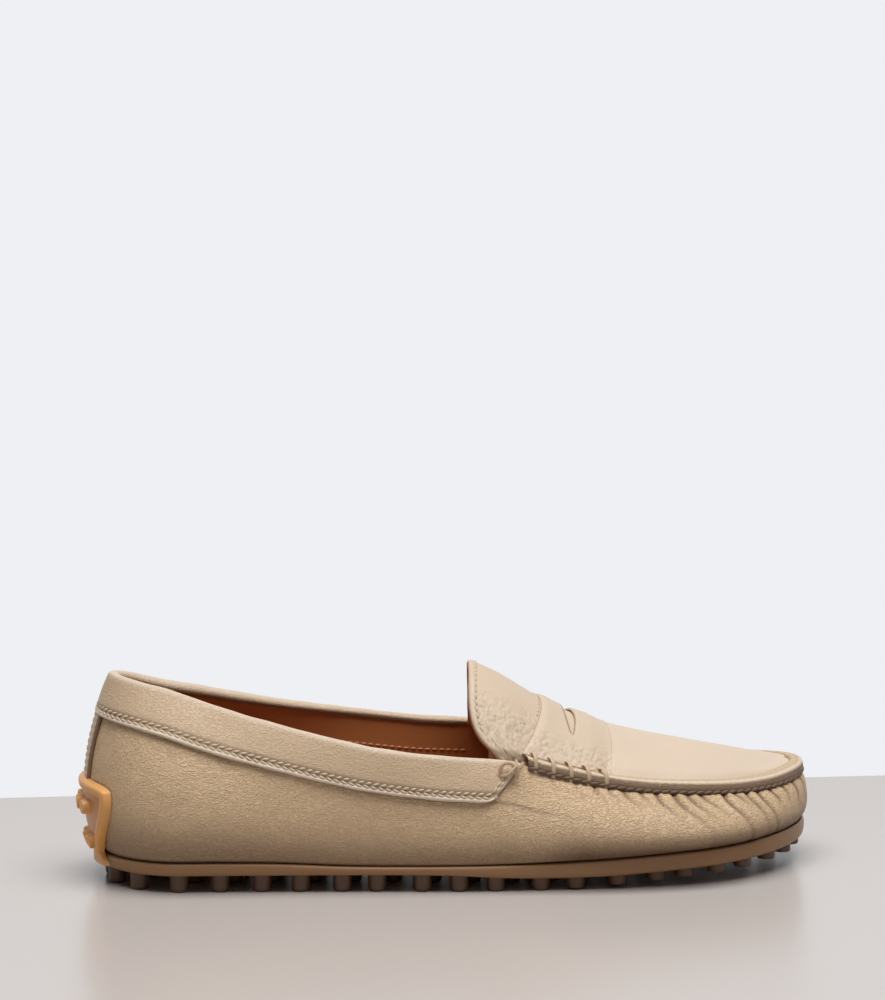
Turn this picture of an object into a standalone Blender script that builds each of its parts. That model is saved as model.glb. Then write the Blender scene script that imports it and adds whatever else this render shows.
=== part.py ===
"""Driving moccasin, right shoe: a leather upper on a gum-rubber pebble sole, built the way it is sewn.

+X runs from heel to toe, -Y is the outer side and +Y the inner side, and the pebbles stand on Z = 0.
Every surface comes from three outlines: the sole edge, the girth and the top edge, read from short
tables of shares. The wall is a loft through them, and the roof arches across inside the top edge.
"""

import math
from collections import namedtuple

import bmesh
import bpy
from mathutils import Vector

# Driving dimensions, in metres.
LENGTH = 0.250
BALL_WIDTH = 0.090
HEEL_HEIGHT = 0.0700
INSTEP_HEIGHT = 0.0725

# How far each outline stops short of the overall length, at the heel and at the toe.
SOLE_EDGE_HEEL = 0.0087
SOLE_EDGE_TOE = 0.0022
GIRTH_HEEL = 0.0043
TOP_HEEL = 0.0132
TOP_TOE = 0.0022

# How far from each end an outline takes to reach its full width.
SOLE_EDGE_ROUND_HEEL = 0.026
SOLE_EDGE_ROUND_TOE = 0.043
GIRTH_ROUND_HEEL = 0.031
GIRTH_ROUND_TOE = 0.050
TOP_ROUND_HEEL = 0.018
TOP_ROUND_TOE = 0.046
TOE_SWING = 0.0070

# Leather.
GAP = 0.0003
UPPER_WALL = 0.0020
APRON_THICKNESS = 0.0014
STRAP_THICKNESS = 0.0013
BAND_THICKNESS = 0.0011
HEEL_STRIP_THICKNESS = 0.0010
COLLAR_END = 0.1465
BAND_HEIGHT = 0.0138
BAND_SLANT = 0.0072
BAND_STANDOFF = 0.0004
BAND_CORNER_SHARE = 0.25
BAND_CORNER_POWER = 60
HEEL_STRIP_WIDTH = 0.0125
SEAM_WIDTH = 0.0034
SEAM_RISE = 0.0030
SEAM_RADIUS = 0.0016
SEAM_LIFT = 0.0026

# The tongue's and the strap's edges: distance from the heel end, at the crown and at the seam.
TONGUE_CROWN = 0.1325
TONGUE_SIDE = 0.1360
STRAP_REAR_CROWN = 0.1565
STRAP_REAR_SIDE = 0.1465
STRAP_FRONT_CROWN = 0.1798
STRAP_FRONT_SIDE = 0.1768
APRON_START = 0.1730
THROAT_COVER = 0.0020
SLOT_CENTRE = 0.1662
SLOT_WIDTH = 0.0034
SLOT_SHARE = 0.64

# Rubber and footbed.
RIM_THICKNESS = 0.0062
RIM_OVERHANG = 0.0012
PEBBLE_HEIGHT = 0.0059
PEBBLE_DIAMETER = 0.0062
PEBBLE_PITCH = 0.0132
PEBBLE_PITCH_FORE = 0.0112
PEBBLE_FORE_START = 0.180
PEBBLE_FORE_BLEND = 0.015
PEBBLE_INSET = 0.0037
PEBBLE_SINK = 0.0010
INSOLE_THICKNESS = 0.0028
INSOLE_CLEARANCE = 0.0006

# Heel tab, which climbs the back of the heel from the slab.
TAB_THICKNESS = 0.0026
TAB_HEIGHT = 0.0352
TAB_WIDTH = 0.0446
TAB_WAIST = 0.0190
TAB_WAIST_HEIGHT = 0.0115
TAB_FULL_HEIGHT = 0.0320
TAB_FRAME = 0.0036
TAB_PANEL_DEPTH = 0.0009
TAB_PEBBLE_DIAMETER = 0.0054
TAB_PEBBLE_RISE = 0.0022
TAB_PEBBLE_LOW = 0.0150
TAB_PEBBLE_LOW_SPREAD = 0.0060
TAB_PEBBLE_HIGH = 0.0265
TAB_PEBBLE_HIGH_SPREAD = 0.0080

# Fineness of the meshes: steps round the shoe, up the wall, across the roof, and of each piece.
RING_STEPS = 72
WALL_STEPS = 8
ROOF_STEPS = 12
FLAP_STEPS = 12
THROAT_STEPS = 3
STRAP_COLUMNS = 5
STRAP_STEPS = 18
SLOT_STEPS = 12
BAND_COLUMNS = 48
BAND_STEPS = 3
STRIP_COLUMNS = 4
STRIP_STEPS = 6
SEAM_COLUMNS = 50
SEAM_SIDES = 6
TAB_COLUMNS = 10
TAB_STEPS = 9
PANEL_STEPS = 6
PEBBLE_SIDES = 8
PEBBLE_RING_STEPS = 240
ARC_STEPS = 24
SEARCH_STEPS = 30
SHARP_ANGLE = 35
LOWEST_RISE = -0.2
MERGE_DISTANCE = 1e-6

# How far to either side a surface is read for its normal, as shares of its own parameters, and for the roof in
# metres along the foot. The roof's normal is held short of its front end and of its sides.
NORMAL_STEP = 0.004
ROOF_STEP = 0.001
ROOF_STEP_ACROSS = 0.02
ROOF_END_MARGIN = 0.0015
ROOF_SIDE_SHARE = 0.97

# Half-widths at the outer (-Y) and inner (+Y) side as shares of the ball width, before the ends are rounded.
Section = namedtuple("Section", "along sole_out sole_in girth_out girth_in top_out top_in")
SECTIONS = (
    Section(0.00, 0.300, 0.300, 0.345, 0.345, 0.140, 0.140),
    Section(0.07, 0.305, 0.302, 0.357, 0.349, 0.162, 0.155),
    Section(0.15, 0.318, 0.298, 0.368, 0.352, 0.222, 0.206),
    Section(0.35, 0.378, 0.268, 0.405, 0.325, 0.360, 0.330),
    Section(0.50, 0.436, 0.285, 0.455, 0.342, 0.382, 0.348),
    Section(0.60, 0.456, 0.325, 0.500, 0.380, 0.385, 0.348),
    Section(0.72, 0.476, 0.385, 0.5375, 0.430, 0.385, 0.345),
    Section(0.85, 0.452, 0.392, 0.515, 0.448, 0.350, 0.334),
    Section(1.00, 0.405, 0.368, 0.450, 0.420, 0.310, 0.310),
)

# Height of the top edge, collar and then moccasin seam, as shares of the heel height.
TopEdge = namedtuple("TopEdge", "along outer inner")
TOP_EDGE = (
    TopEdge(0.00, 1.000, 1.000),
    TopEdge(0.07, 0.950, 0.922),
    TopEdge(0.15, 0.864, 0.858),
    TopEdge(0.25, 0.776, 0.780),
    TopEdge(0.35, 0.698, 0.714),
    TopEdge(0.45, 0.648, 0.664),
    TopEdge(0.55, 0.614, 0.632),
    TopEdge(0.60, 0.556, 0.566),
    TopEdge(0.72, 0.464, 0.470),
    TopEdge(0.85, 0.420, 0.424),
    TopEdge(0.93, 0.412, 0.415),
    TopEdge(1.00, 0.432, 0.432),
)

# Height of the roof's crown as shares of the instep height, by distance from the heel end over the length.
Crown = namedtuple("Crown", "along height")
CROWN = (
    Crown(0.53, 0.985),
    Crown(0.57, 0.920),
    Crown(0.61, 0.834),
    Crown(0.65, 0.748),
    Crown(0.69, 0.694),
    Crown(0.74, 0.642),
    Crown(0.80, 0.589),
    Crown(0.86, 0.552),
    Crown(0.92, 0.520),
    Crown(0.96, 0.476),
    Crown(1.00, 0.430),
)

# The sole's profile from heel to toe: the pebbles' ends and the underside as shares of the pebble height,
# and the rim, which thins at the waist, as a share of its full thickness.
Profile = namedtuple("Profile", "along foot under rim")
PROFILE = (
    Profile(0.00, 0.00, 1.00, 0.70),
    Profile(0.22, 0.00, 1.00, 0.66),
    Profile(0.34, 0.00, 1.00, 0.48),
    Profile(0.47, 0.00, 0.97, 0.50),
    Profile(0.56, 0.00, 0.78, 0.72),
    Profile(0.61, 0.00, 0.74, 0.81),
    Profile(0.67, 0.12, 0.76, 0.89),
    Profile(0.77, 0.40, 0.93, 0.93),
    Profile(0.88, 0.66, 1.18, 0.93),
    Profile(1.00, 0.95, 1.45, 0.96),
)

# Shape of the wall between the sole edge and the top edge, of the roof across the foot, and of the flaps' edges.
WALL_LOW_SHARE = 0.20
WALL_HIGH_SHARE = 0.55
ROOF_ROUND_POWER = 2.1
TONGUE_SWEEP_POWER = 10.0
STRAP_SWEEP_POWER = 2.6
SEAM_INSET_SHARE = 0.36
SLOT_TAPER_POWER = 3.0
SLOT_END_SHARE = 0.04
SLOT_BEND_SHARE = 0.3

# Outline of the heel tab: how much its top falls at the sides and draws in, and where its foot and its panel's foot
# lie.
TAB_TOP_FALL_SHARE = 0.05
TAB_TOP_FALL_POWER = 8
TAB_TOP_DRAW_SHARE = 0.06
TAB_TOP_DRAW_POWER = 8
TAB_FOOT_SHARE = 0.2
TAB_FOOT_RISE = 0.05
PANEL_FOOT_FRAMES = 2.5
PANEL_CUT_DEPTHS = 3

Outline = namedtuple("Outline", "heel toe round_heel round_toe outer inner")
SOLE_EDGE = Outline(SOLE_EDGE_HEEL, SOLE_EDGE_TOE, SOLE_EDGE_ROUND_HEEL, SOLE_EDGE_ROUND_TOE, "sole_out", "sole_in")
GIRTH = Outline(GIRTH_HEEL, 0.0, GIRTH_ROUND_HEEL, GIRTH_ROUND_TOE, "girth_out", "girth_in")
TOP = Outline(TOP_HEEL, TOP_TOE, TOP_ROUND_HEEL, TOP_ROUND_TOE, "top_out", "top_in")

# Side of the slab from its underside to its top: how far it draws in, as a share of the overhang, and its height.
RimLayer = namedtuple("RimLayer", "draw height")
RIM_LAYERS = (
    RimLayer(1.0, 0.00),
    RimLayer(0.2, 0.22),
    RimLayer(0.0, 0.65),
    RimLayer(0.4, 1.00),
)

Finish = namedtuple("Finish", "color roughness")
GUM = Finish((0.62, 0.36, 0.13, 1.0), 0.45)
LEATHER = Finish((0.60, 0.47, 0.33, 1.0), 0.55)
PALE_LEATHER = Finish((0.70, 0.58, 0.44, 1.0), 0.50)
LINING = Finish((0.42, 0.17, 0.06, 1.0), 0.60)


def read(table, column, along):
    """A column of a table at a share of the length, on a smooth curve through the rows."""
    rows = [(row.along, getattr(row, column)) for row in table]
    if along <= rows[0][0]:
        return rows[0][1]
    if along >= rows[-1][0]:
        return rows[-1][1]
    k = max(i for i in range(len(rows) - 1) if rows[i][0] <= along)

    def slope(i):
        low, high = max(i - 1, 0), min(i + 1, len(rows) - 1)
        return (rows[high][1] - rows[low][1]) / (rows[high][0] - rows[low][0])

    (x0, y0), (x1, y1) = rows[k], rows[k + 1]
    step = x1 - x0
    s = (along - x0) / step
    rise = y0 * (1 + 2 * s) * (1 - s) ** 2 + y1 * s * s * (3 - 2 * s)
    return rise + step * (slope(k) * s * (1 - s) ** 2 - slope(k + 1) * s * s * (1 - s))


def end_round(distance, reach):
    """Zero at an end of an outline, growing to 1 like a quarter ellipse."""
    if distance >= reach:
        return 1.0
    return math.sqrt(max(0.0, 1 - (1 - max(distance, 0.0) / reach) ** 2))


def span_of(outline, grow=0.0):
    """The outline's X at its heel and at its toe, when it is widened all round by grow."""
    return -LENGTH / 2 + outline.heel - grow, LENGTH / 2 - outline.toe + grow


def edge(outline, side, along, grow=0.0):
    """Plan position of a point on an outline: side is -1 outer or +1 inner, along runs from heel to toe."""
    back, front = span_of(outline, grow)
    x = back + along * (front - back)
    width = BALL_WIDTH * read(SECTIONS, outline.outer if side < 0 else outline.inner, along) + grow
    width *= end_round(x - back, outline.round_heel + grow) * end_round(front - x, outline.round_toe + grow)
    return Vector((x, TOE_SWING * along * along + side * width))


def edge_at_x(outline, side, x, grow=0.0):
    """Y of an outline at a given X."""
    back, front = span_of(outline, grow)
    return edge(outline, side, (x - back) / (front - back), grow).y


def along_of(u):
    """Share of the length at ring position u: 0 at the heel, 1 at the toe by the outer side, 2 at the heel again."""
    return (1 - math.cos(math.pi * u)) / 2


def side_of(u):
    return -1 if u % 2 <= 1 else 1


def ring_position(along):
    """Ring position on the outer side at a share of the length."""
    return math.acos(1 - 2 * along) / math.pi


def sole_line(column, x):
    """A column of the sole's profile at X."""
    back, front = span_of(SOLE_EDGE)
    return read(PROFILE, column, (x - back) / (front - back))


def slab_height(x, share):
    """Height inside the slab at X: share 0 at its underside, 1 at its top."""
    return PEBBLE_HEIGHT * sole_line("under", x) + share * RIM_THICKNESS * sole_line("rim", x)


def top_height(side, along):
    return HEEL_HEIGHT * read(TOP_EDGE, "outer" if side < 0 else "inner", along)


def wall(u, rise):
    """Outer face of the wall at ring position u: rise 0 at the sole, 0.5 at the girth, 1 at the top edge."""
    side, along = side_of(u), along_of(u)
    foot, girth, top = (edge(outline, side, along) for outline in (SOLE_EDGE, GIRTH, TOP))
    control = (8 * girth - foot - top) / 6
    low = slab_height(foot.x, 1) + GAP
    height = top_height(side, along) - low
    a, b, c, d = (1 - rise) ** 3, 3 * rise * (1 - rise) ** 2, 3 * rise * rise * (1 - rise), rise**3
    plan = a * foot + (b + c) * control + d * top
    return Vector((plan.x, plan.y, low + height * (b * WALL_LOW_SHARE + c * WALL_HIGH_SHARE + d)))


def normal_of(surface, u, v, step_u, step_v):
    """Unit normal of a surface of two parameters, from points on either side."""
    across = surface(u + step_u, v) - surface(u - step_u, v)
    upward = surface(u, v + step_v) - surface(u, v - step_v)
    return across.cross(upward).normalized()


def wall_out(u, rise, out):
    """A point off the wall's outer face by the distance out."""
    return wall(u, rise) + out * normal_of(wall, u, rise, NORMAL_STEP, NORMAL_STEP)


def roof(x, across):
    """Top face of the apron and tongue at X: across runs from -1 at the outer seam to +1 at the inner one."""
    back, front = span_of(TOP, -SEAM_WIDTH)
    x = min(x, front)
    along = (x - back) / (front - back)
    left, right = edge_at_x(TOP, -1, x, -SEAM_WIDTH), edge_at_x(TOP, 1, x, -SEAM_WIDTH)
    share = (across + 1) / 2
    sides = (1 - share) * top_height(-1, along) + share * top_height(1, along) + SEAM_RISE
    middle = (top_height(-1, along) + top_height(1, along)) / 2 + SEAM_RISE
    crown = INSTEP_HEIGHT * read(CROWN, "height", (x + LENGTH / 2) / LENGTH)
    closing = end_round(front - x, TOP_ROUND_TOE)
    arch = (crown - middle) * closing * (1 - abs(across) ** ROOF_ROUND_POWER)
    return Vector((x, left + share * (right - left), sides + arch))


def roof_out(x, across, out):
    """A point off the roof's top face by the distance out."""
    front = span_of(TOP, -SEAM_WIDTH)[1]
    near = min(x, front - ROOF_END_MARGIN)
    held = max(-ROOF_SIDE_SHARE, min(ROOF_SIDE_SHARE, across))
    return roof(x, across) + out * normal_of(roof, near, held, ROOF_STEP, ROOF_STEP_ACROSS)


def rise_at_height(u, height):
    """Rise on the wall where its outer face stands at a height."""
    low, high = LOWEST_RISE, 1.0
    for _ in range(SEARCH_STEPS):
        middle = (low + high) / 2
        if wall(u, middle).z < height:
            low = middle
        else:
            high = middle
    return low


def u_at_arc(arc, rise):
    """Ring position whose point on the wall lies an arc length from the back centre line."""
    step = 0.5 / ARC_STEPS
    u, travelled = 0.0, 0.0
    while travelled < abs(arc):
        travelled += (wall(u + step, rise) - wall(u, rise)).length
        u += step
    previous = (wall(u, rise) - wall(u - step, rise)).length
    u -= step * (travelled - abs(arc)) / previous
    return math.copysign(u, arc)


def outer_u(distance):
    """Ring position on the outer side at a distance from the heel end."""
    back, front = span_of(TOP)
    return ring_position((distance - LENGTH / 2 - back) / (front - back))


def patch(bm, columns, rows, place):
    """Adds a grid to a bmesh, each vertex set by place(column, row)."""
    made = bmesh.ops.create_grid(bm, x_segments=columns, y_segments=rows, size=0.5)["verts"]
    shares = [(round((v.co.x + 0.5) * columns), round((v.co.y + 0.5) * rows)) for v in made]
    for vertex, (column, row) in zip(made, shares):
        vertex.co = place(column, row)


def make_object(name, bm, look):
    """Turns a bmesh into a smooth-shaded object with its own material."""
    bmesh.ops.remove_doubles(bm, verts=bm.verts, dist=MERGE_DISTANCE)
    bmesh.ops.dissolve_degenerate(bm, edges=bm.edges, dist=MERGE_DISTANCE)
    mesh = bpy.data.meshes.new(name)
    bm.to_mesh(mesh)
    bm.free()
    mesh.shade_smooth()
    mesh.set_sharp_from_angle(angle=math.radians(SHARP_ANGLE))
    finish = bpy.data.materials.new(name)
    finish.use_nodes = True
    shader = finish.node_tree.nodes["Principled BSDF"]
    shader.inputs["Base Color"].default_value = look.color
    shader.inputs["Roughness"].default_value = look.roughness
    mesh.materials.append(finish)
    made = bpy.data.objects.new(name, mesh)
    SHOE.objects.link(made)
    return made


def thicken(made, thickness, direction):
    """Gives an open surface its thickness: direction 1 grows it outwards, -1 inwards."""
    solid = made.modifiers.new("Thickness", "SOLIDIFY")
    solid.thickness = thickness
    solid.offset = direction
    solid.use_even_offset = True
    return made


def combine(target, tool, operation):
    """Applies a Boolean of target with tool, and keeps tool as a hidden cutter."""
    change = target.modifiers.new(tool.name, "BOOLEAN")
    change.operation = operation
    change.object = tool
    SHOE.objects.unlink(tool)
    TOOLS.objects.link(tool)
    tool.hide_render = True
    tool.display_type = "WIRE"


def build_upper():
    """Vamp and quarters up to the top edge, and the lowered roof that the apron lies on, as one shell."""
    bm = bmesh.new()
    patch(bm, RING_STEPS, WALL_STEPS, lambda i, j: wall(2 * i / RING_STEPS, j / WALL_STEPS))
    first = math.ceil(outer_u(COLLAR_END) * RING_STEPS / 2)
    count = RING_STEPS // 2 - first
    back, front = span_of(TOP, -SEAM_WIDTH)
    drop = -(APRON_THICKNESS + GAP)

    def station_x(i):
        return back + along_of(2 * i / RING_STEPS) * (front - back)

    def roof_place(row, column):
        across = 2 * column / ROOF_STEPS - 1
        x = station_x(first + row)
        swept = STRAP_REAR_CROWN + THROAT_COVER - LENGTH / 2 - station_x(first)
        x += swept * max(0.0, 1 - row / THROAT_STEPS) * (1 - across**2)
        return roof_out(x, across, drop)

    def step_place(i, j):
        u = 2 * (first + i) / RING_STEPS
        if j == 0:
            return wall(u, 1)
        return roof_place(min(i, 2 * count - i), 0 if i <= count else ROOF_STEPS)

    patch(bm, count, ROOF_STEPS, roof_place)
    patch(bm, 2 * count, 1, step_place)
    upper = make_object("upper", bm, LEATHER)
    return thicken(upper, UPPER_WALL, -1)


def build_apron():
    """The plug over the toes, inside the moccasin seam."""
    bm = bmesh.new()
    front = span_of(TOP, -SEAM_WIDTH)[1] - GAP
    start = APRON_START - LENGTH / 2

    def place(i, j):
        x = start + (front - start) * math.sin(math.pi / 2 * i / FLAP_STEPS)
        return roof(x, 2 * j / ROOF_STEPS - 1)

    patch(bm, FLAP_STEPS, ROOF_STEPS, place)
    return thicken(make_object("apron", bm, PALE_LEATHER), APRON_THICKNESS, -1)


def build_tongue():
    """The flap from under the strap to its free edge over the instep."""
    bm = bmesh.new()
    start = APRON_START - LENGTH / 2 - GAP
    side = TONGUE_SIDE - LENGTH / 2

    def place(i, j):
        across = 2 * j / ROOF_STEPS - 1
        free = TONGUE_CROWN - LENGTH / 2
        free += (side - free) * abs(across) ** TONGUE_SWEEP_POWER
        return roof(start + (free - start) * i / FLAP_STEPS, across)

    patch(bm, FLAP_STEPS, ROOF_STEPS, place)
    return thicken(make_object("tongue", bm, PALE_LEATHER), APRON_THICKNESS, 1)


def build_saddle_strap():
    """The strap across the apron and tongue, with its lens-shaped slot."""
    bm = bmesh.new()

    def place(i, j):
        across = 2 * j / STRAP_STEPS - 1
        sweep = abs(across) ** STRAP_SWEEP_POWER
        rear = STRAP_REAR_CROWN + (STRAP_REAR_SIDE - STRAP_REAR_CROWN) * sweep
        front = STRAP_FRONT_CROWN + (STRAP_FRONT_SIDE - STRAP_FRONT_CROWN) * sweep
        return roof_out(rear + (front - rear) * i / STRAP_COLUMNS - LENGTH / 2, across, GAP)

    patch(bm, STRAP_COLUMNS, STRAP_STEPS, place)
    strap = thicken(make_object("saddle_strap", bm, PALE_LEATHER), STRAP_THICKNESS, 1)

    slot = bmesh.new()

    def slot_place(i, j):
        share = 2 * j / SLOT_STEPS - 1
        width = SLOT_WIDTH * max(SLOT_END_SHARE, 1 - abs(share) ** SLOT_TAPER_POWER)
        x = SLOT_CENTRE - LENGTH / 2 - SLOT_BEND_SHARE * SLOT_WIDTH * share * share + width * (i - 0.5)
        return roof_out(x, SLOT_SHARE * share, -GAP / 2)

    patch(slot, 1, SLOT_STEPS, slot_place)
    cutter = thicken(make_object("strap_slot", slot, PALE_LEATHER), STRAP_THICKNESS + 3 * GAP, 1)
    combine(strap, cutter, "DIFFERENCE")
    return strap


def build_collar_band():
    """The folded band round the collar, with its slanted front corners."""
    bm = bmesh.new()
    low_end, high_end = outer_u(COLLAR_END - BAND_SLANT), outer_u(COLLAR_END)

    def place(i, j):
        share = 2 * i / BAND_COLUMNS - 1
        row = j / BAND_STEPS
        u = share * (low_end + (high_end - low_end) * row)
        drop = BAND_HEIGHT * (1 - BAND_CORNER_SHARE * abs(share) ** BAND_CORNER_POWER) * (1 - row)
        return wall_out(u, rise_at_height(u, wall(u, 1).z - drop), BAND_STANDOFF)

    patch(bm, BAND_COLUMNS, BAND_STEPS, place)
    return thicken(make_object("collar_band", bm, LEATHER), BAND_THICKNESS, 1)


def build_heel_strip():
    """The narrow strip over the back seam, from the band down to the heel tab."""
    bm = bmesh.new()
    bottom = TAB_HEIGHT + GAP
    top = wall(0, 1).z - BAND_HEIGHT - GAP

    def place(i, j):
        height = bottom + (top - bottom) * j / STRIP_STEPS
        rise = rise_at_height(0, height)
        return wall_out(u_at_arc(HEEL_STRIP_WIDTH * (i / STRIP_COLUMNS - 0.5), rise), rise, GAP)

    patch(bm, STRIP_COLUMNS, STRIP_STEPS, place)
    return thicken(make_object("heel_strip", bm, LEATHER), HEEL_STRIP_THICKNESS, 1)


def build_moc_seam():
    """The raised seam: a round bead that follows the top edge from collar end to collar end."""
    bm = bmesh.new()
    start = outer_u(COLLAR_END + SEAM_WIDTH / 2)

    def centre(u):
        plan = edge(TOP, side_of(u), along_of(u), -SEAM_WIDTH * SEAM_INSET_SHARE)
        return Vector((plan.x, plan.y, top_height(side_of(u), along_of(u)) + SEAM_LIFT))

    def place(i, j):
        u = start + 2 * (1 - start) * i / SEAM_COLUMNS
        along = (centre(u + NORMAL_STEP) - centre(u - NORMAL_STEP)).normalized()
        out = along.cross(Vector((0, 0, 1))).normalized()
        angle = 2 * math.pi * j / SEAM_SIDES
        return centre(u) + SEAM_RADIUS * (out * math.cos(angle) + out.cross(along) * math.sin(angle))

    patch(bm, SEAM_COLUMNS, SEAM_SIDES, place)
    bmesh.ops.remove_doubles(bm, verts=bm.verts, dist=MERGE_DISTANCE)
    bmesh.ops.holes_fill(bm, edges=[e for e in bm.edges if e.is_boundary], sides=SEAM_SIDES)
    bmesh.ops.recalc_face_normals(bm, faces=bm.faces)
    return make_object("moc_seam", bm, LEATHER)


def plate(bm, grow, layers):
    """A closed plate on the sole edge's outline. Each layer is (extra width, share of the slab, lift above it)."""
    last = len(layers) - 1

    def ring(i, j):
        extra, share, lift = layers[j]
        u = 2 * i / RING_STEPS
        plan = edge(SOLE_EDGE, side_of(u), along_of(u), grow + extra)
        return Vector((plan.x, plan.y, slab_height(plan.x, share) + lift))

    patch(bm, RING_STEPS, last, ring)
    for j in (0, last):
        patch(bm, RING_STEPS // 2, 1, lambda i, k, j=j: ring(i if k else RING_STEPS - i, j))
    bmesh.ops.remove_doubles(bm, verts=bm.verts, dist=MERGE_DISTANCE)
    bmesh.ops.recalc_face_normals(bm, faces=bm.faces)


def pebble(bm, base, axis, diameter, height):
    """A closed cylinder that rises from base along axis."""
    turn = axis.to_track_quat("Z", "Y").to_matrix().to_4x4()
    made = bmesh.ops.create_cone(
        bm,
        cap_ends=True,
        segments=PEBBLE_SIDES,
        radius1=diameter / 2,
        radius2=diameter / 2,
        depth=height,
    )["verts"]
    bmesh.ops.rotate(bm, verts=made, matrix=turn)
    bmesh.ops.translate(bm, verts=made, vec=base + axis * height / 2)


def pebble_pitch(x):
    """Distance from pebble to pebble along the edge at X: closer under the toes."""
    share = (x + LENGTH / 2 - PEBBLE_FORE_START) / PEBBLE_FORE_BLEND
    return PEBBLE_PITCH + (PEBBLE_PITCH_FORE - PEBBLE_PITCH) * max(0.0, min(1.0, share))


def pebble_ring(inset):
    """Plan positions of a ring of pebbles along the sole edge drawn in by an inset."""
    steps = PEBBLE_RING_STEPS
    ring = [edge(SOLE_EDGE, side_of(2 * k / steps), along_of(2 * k / steps), -inset) for k in range(steps)]
    lengths = [(ring[(k + 1) % steps] - ring[k]).length for k in range(steps)]
    spans = [length / pebble_pitch(point.x) for point, length in zip(ring, lengths)]
    pitch = sum(spans) / round(sum(spans))
    places, travelled, following = [], 0.0, pitch / 2
    for point, span in zip(ring, spans):
        if travelled >= following:
            places.append(point)
            following += pitch
        travelled += span
    return places


def sole_pebbles():
    """Plan positions of every pebble under the slab: a ring along the edge and rows across inside it."""
    places = pebble_ring(PEBBLE_INSET)
    inset = PEBBLE_INSET + PEBBLE_PITCH
    back, front = span_of(SOLE_EDGE, -inset)
    x = back
    while x < front:
        left, right = (edge_at_x(SOLE_EDGE, side, x, -inset) for side in (-1, 1))
        steps = max(1, round((right - left) / PEBBLE_PITCH))
        if right - left < PEBBLE_PITCH / 2:
            places.append(Vector((x, (left + right) / 2)))
        else:
            places += [Vector((x, left + (right - left) * k / steps)) for k in range(steps + 1)]
        x += PEBBLE_PITCH
    return places


def tab_half_width(height):
    """Half the heel tab's width at a height: a narrow waist near the slab, and full near the top."""
    share = (height - TAB_WAIST_HEIGHT) / (TAB_FULL_HEIGHT - TAB_WAIST_HEIGHT)
    swell = math.sin(math.pi * max(0.0, min(1.0, share)) / 2)
    return (TAB_WAIST + (TAB_WIDTH - TAB_WAIST) * swell) / 2


def tab_patch(bm, margin, out, columns=TAB_COLUMNS, rows=TAB_STEPS):
    """The heel tab's outline on the wall, drawn in by a margin and set off the wall by the distance out."""
    low = slab_height(-LENGTH / 2, TAB_FOOT_SHARE) + PANEL_FOOT_FRAMES * margin
    high = TAB_HEIGHT - margin

    def place(i, j):
        share = 2 * i / columns - 1
        height = low + (high - low) * (j / rows) * (1 - TAB_TOP_FALL_SHARE * share**TAB_TOP_FALL_POWER)
        rise = rise_at_height(0, height)
        arc = (tab_half_width(height) - margin) * share
        arc *= 1 - TAB_TOP_DRAW_SHARE * (j / rows) ** TAB_TOP_DRAW_POWER
        return wall_out(u_at_arc(arc, max(rise, TAB_FOOT_RISE)), rise, out)

    patch(bm, columns, rows, place)


def build_outsole():
    """One rubber moulding: slab with a rounded rim, heel tab with its sunk panel, and all the pebbles."""
    bm = bmesh.new()
    plate(bm, RIM_OVERHANG, [(-layer.draw * RIM_OVERHANG, layer.height, 0.0) for layer in RIM_LAYERS])
    outsole = make_object("outsole", bm, GUM)

    tab = bmesh.new()
    tab_patch(tab, 0.0, GAP)
    combine(outsole, thicken(make_object("heel_tab", tab, GUM), TAB_THICKNESS, 1), "UNION")

    panel = bmesh.new()
    floor = GAP + TAB_THICKNESS - TAB_PANEL_DEPTH
    tab_patch(panel, TAB_FRAME, floor, PANEL_STEPS, PANEL_STEPS)
    cutter = thicken(make_object("tab_panel", panel, GUM), PANEL_CUT_DEPTHS * TAB_PANEL_DEPTH, 1)
    combine(outsole, cutter, "DIFFERENCE")

    studs = bmesh.new()
    for height, spread in ((TAB_PEBBLE_LOW, TAB_PEBBLE_LOW_SPREAD), (TAB_PEBBLE_HIGH, TAB_PEBBLE_HIGH_SPREAD)):
        rise = rise_at_height(0, height)
        for k in (-1, 0, 1):
            u = u_at_arc(k * spread, rise)
            out = normal_of(wall, u, rise, NORMAL_STEP, NORMAL_STEP)
            base = wall(u, rise) + out * (floor - TAB_PANEL_DEPTH / 2)
            rise_out = TAB_PEBBLE_RISE + TAB_PANEL_DEPTH / 2
            pebble(studs, base, out, TAB_PEBBLE_DIAMETER, rise_out)
    for place in sole_pebbles():
        foot = PEBBLE_HEIGHT * max(0.0, sole_line("foot", place.x))
        height = slab_height(place.x, 0) - foot + PEBBLE_SINK
        pebble(studs, Vector((place.x, place.y, foot)), Vector((0, 0, 1)), PEBBLE_DIAMETER, height)
    combine(outsole, make_object("pebbles", studs, GUM), "UNION")
    return outsole


def build_insole():
    """The footbed on the slab, inside the wall."""
    bm = bmesh.new()
    layers = ((0.0, 1.0, GAP), (0.0, 1.0, GAP + INSOLE_THICKNESS))
    plate(bm, -(UPPER_WALL + INSOLE_CLEARANCE), layers)
    return make_object("insole", bm, LINING)


def build_shoe():
    build_outsole()
    build_insole()
    build_upper()
    build_apron()
    build_tongue()
    build_saddle_strap()
    build_moc_seam()
    build_collar_band()
    build_heel_strip()


def new_collection(name):
    made = bpy.data.collections.new(name)
    bpy.context.scene.collection.children.link(made)
    return made


for old in list(bpy.data.objects):
    bpy.data.objects.remove(old)
SHOE = new_collection("driving_moccasin")
TOOLS = new_collection("tools")
TOOLS.hide_render = True
build_shoe()
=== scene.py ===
"""Driving moccasin, right shoe: grained leather, tan lining, thread and gum rubber.

+X runs from heel to toe, -Y is the outer side and +Y the inner side, and the pebbles stand on Z = 0.
Every surface reads the sole edge, the girth and the top edge, so each piece lies where its solid lies.
"""

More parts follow.
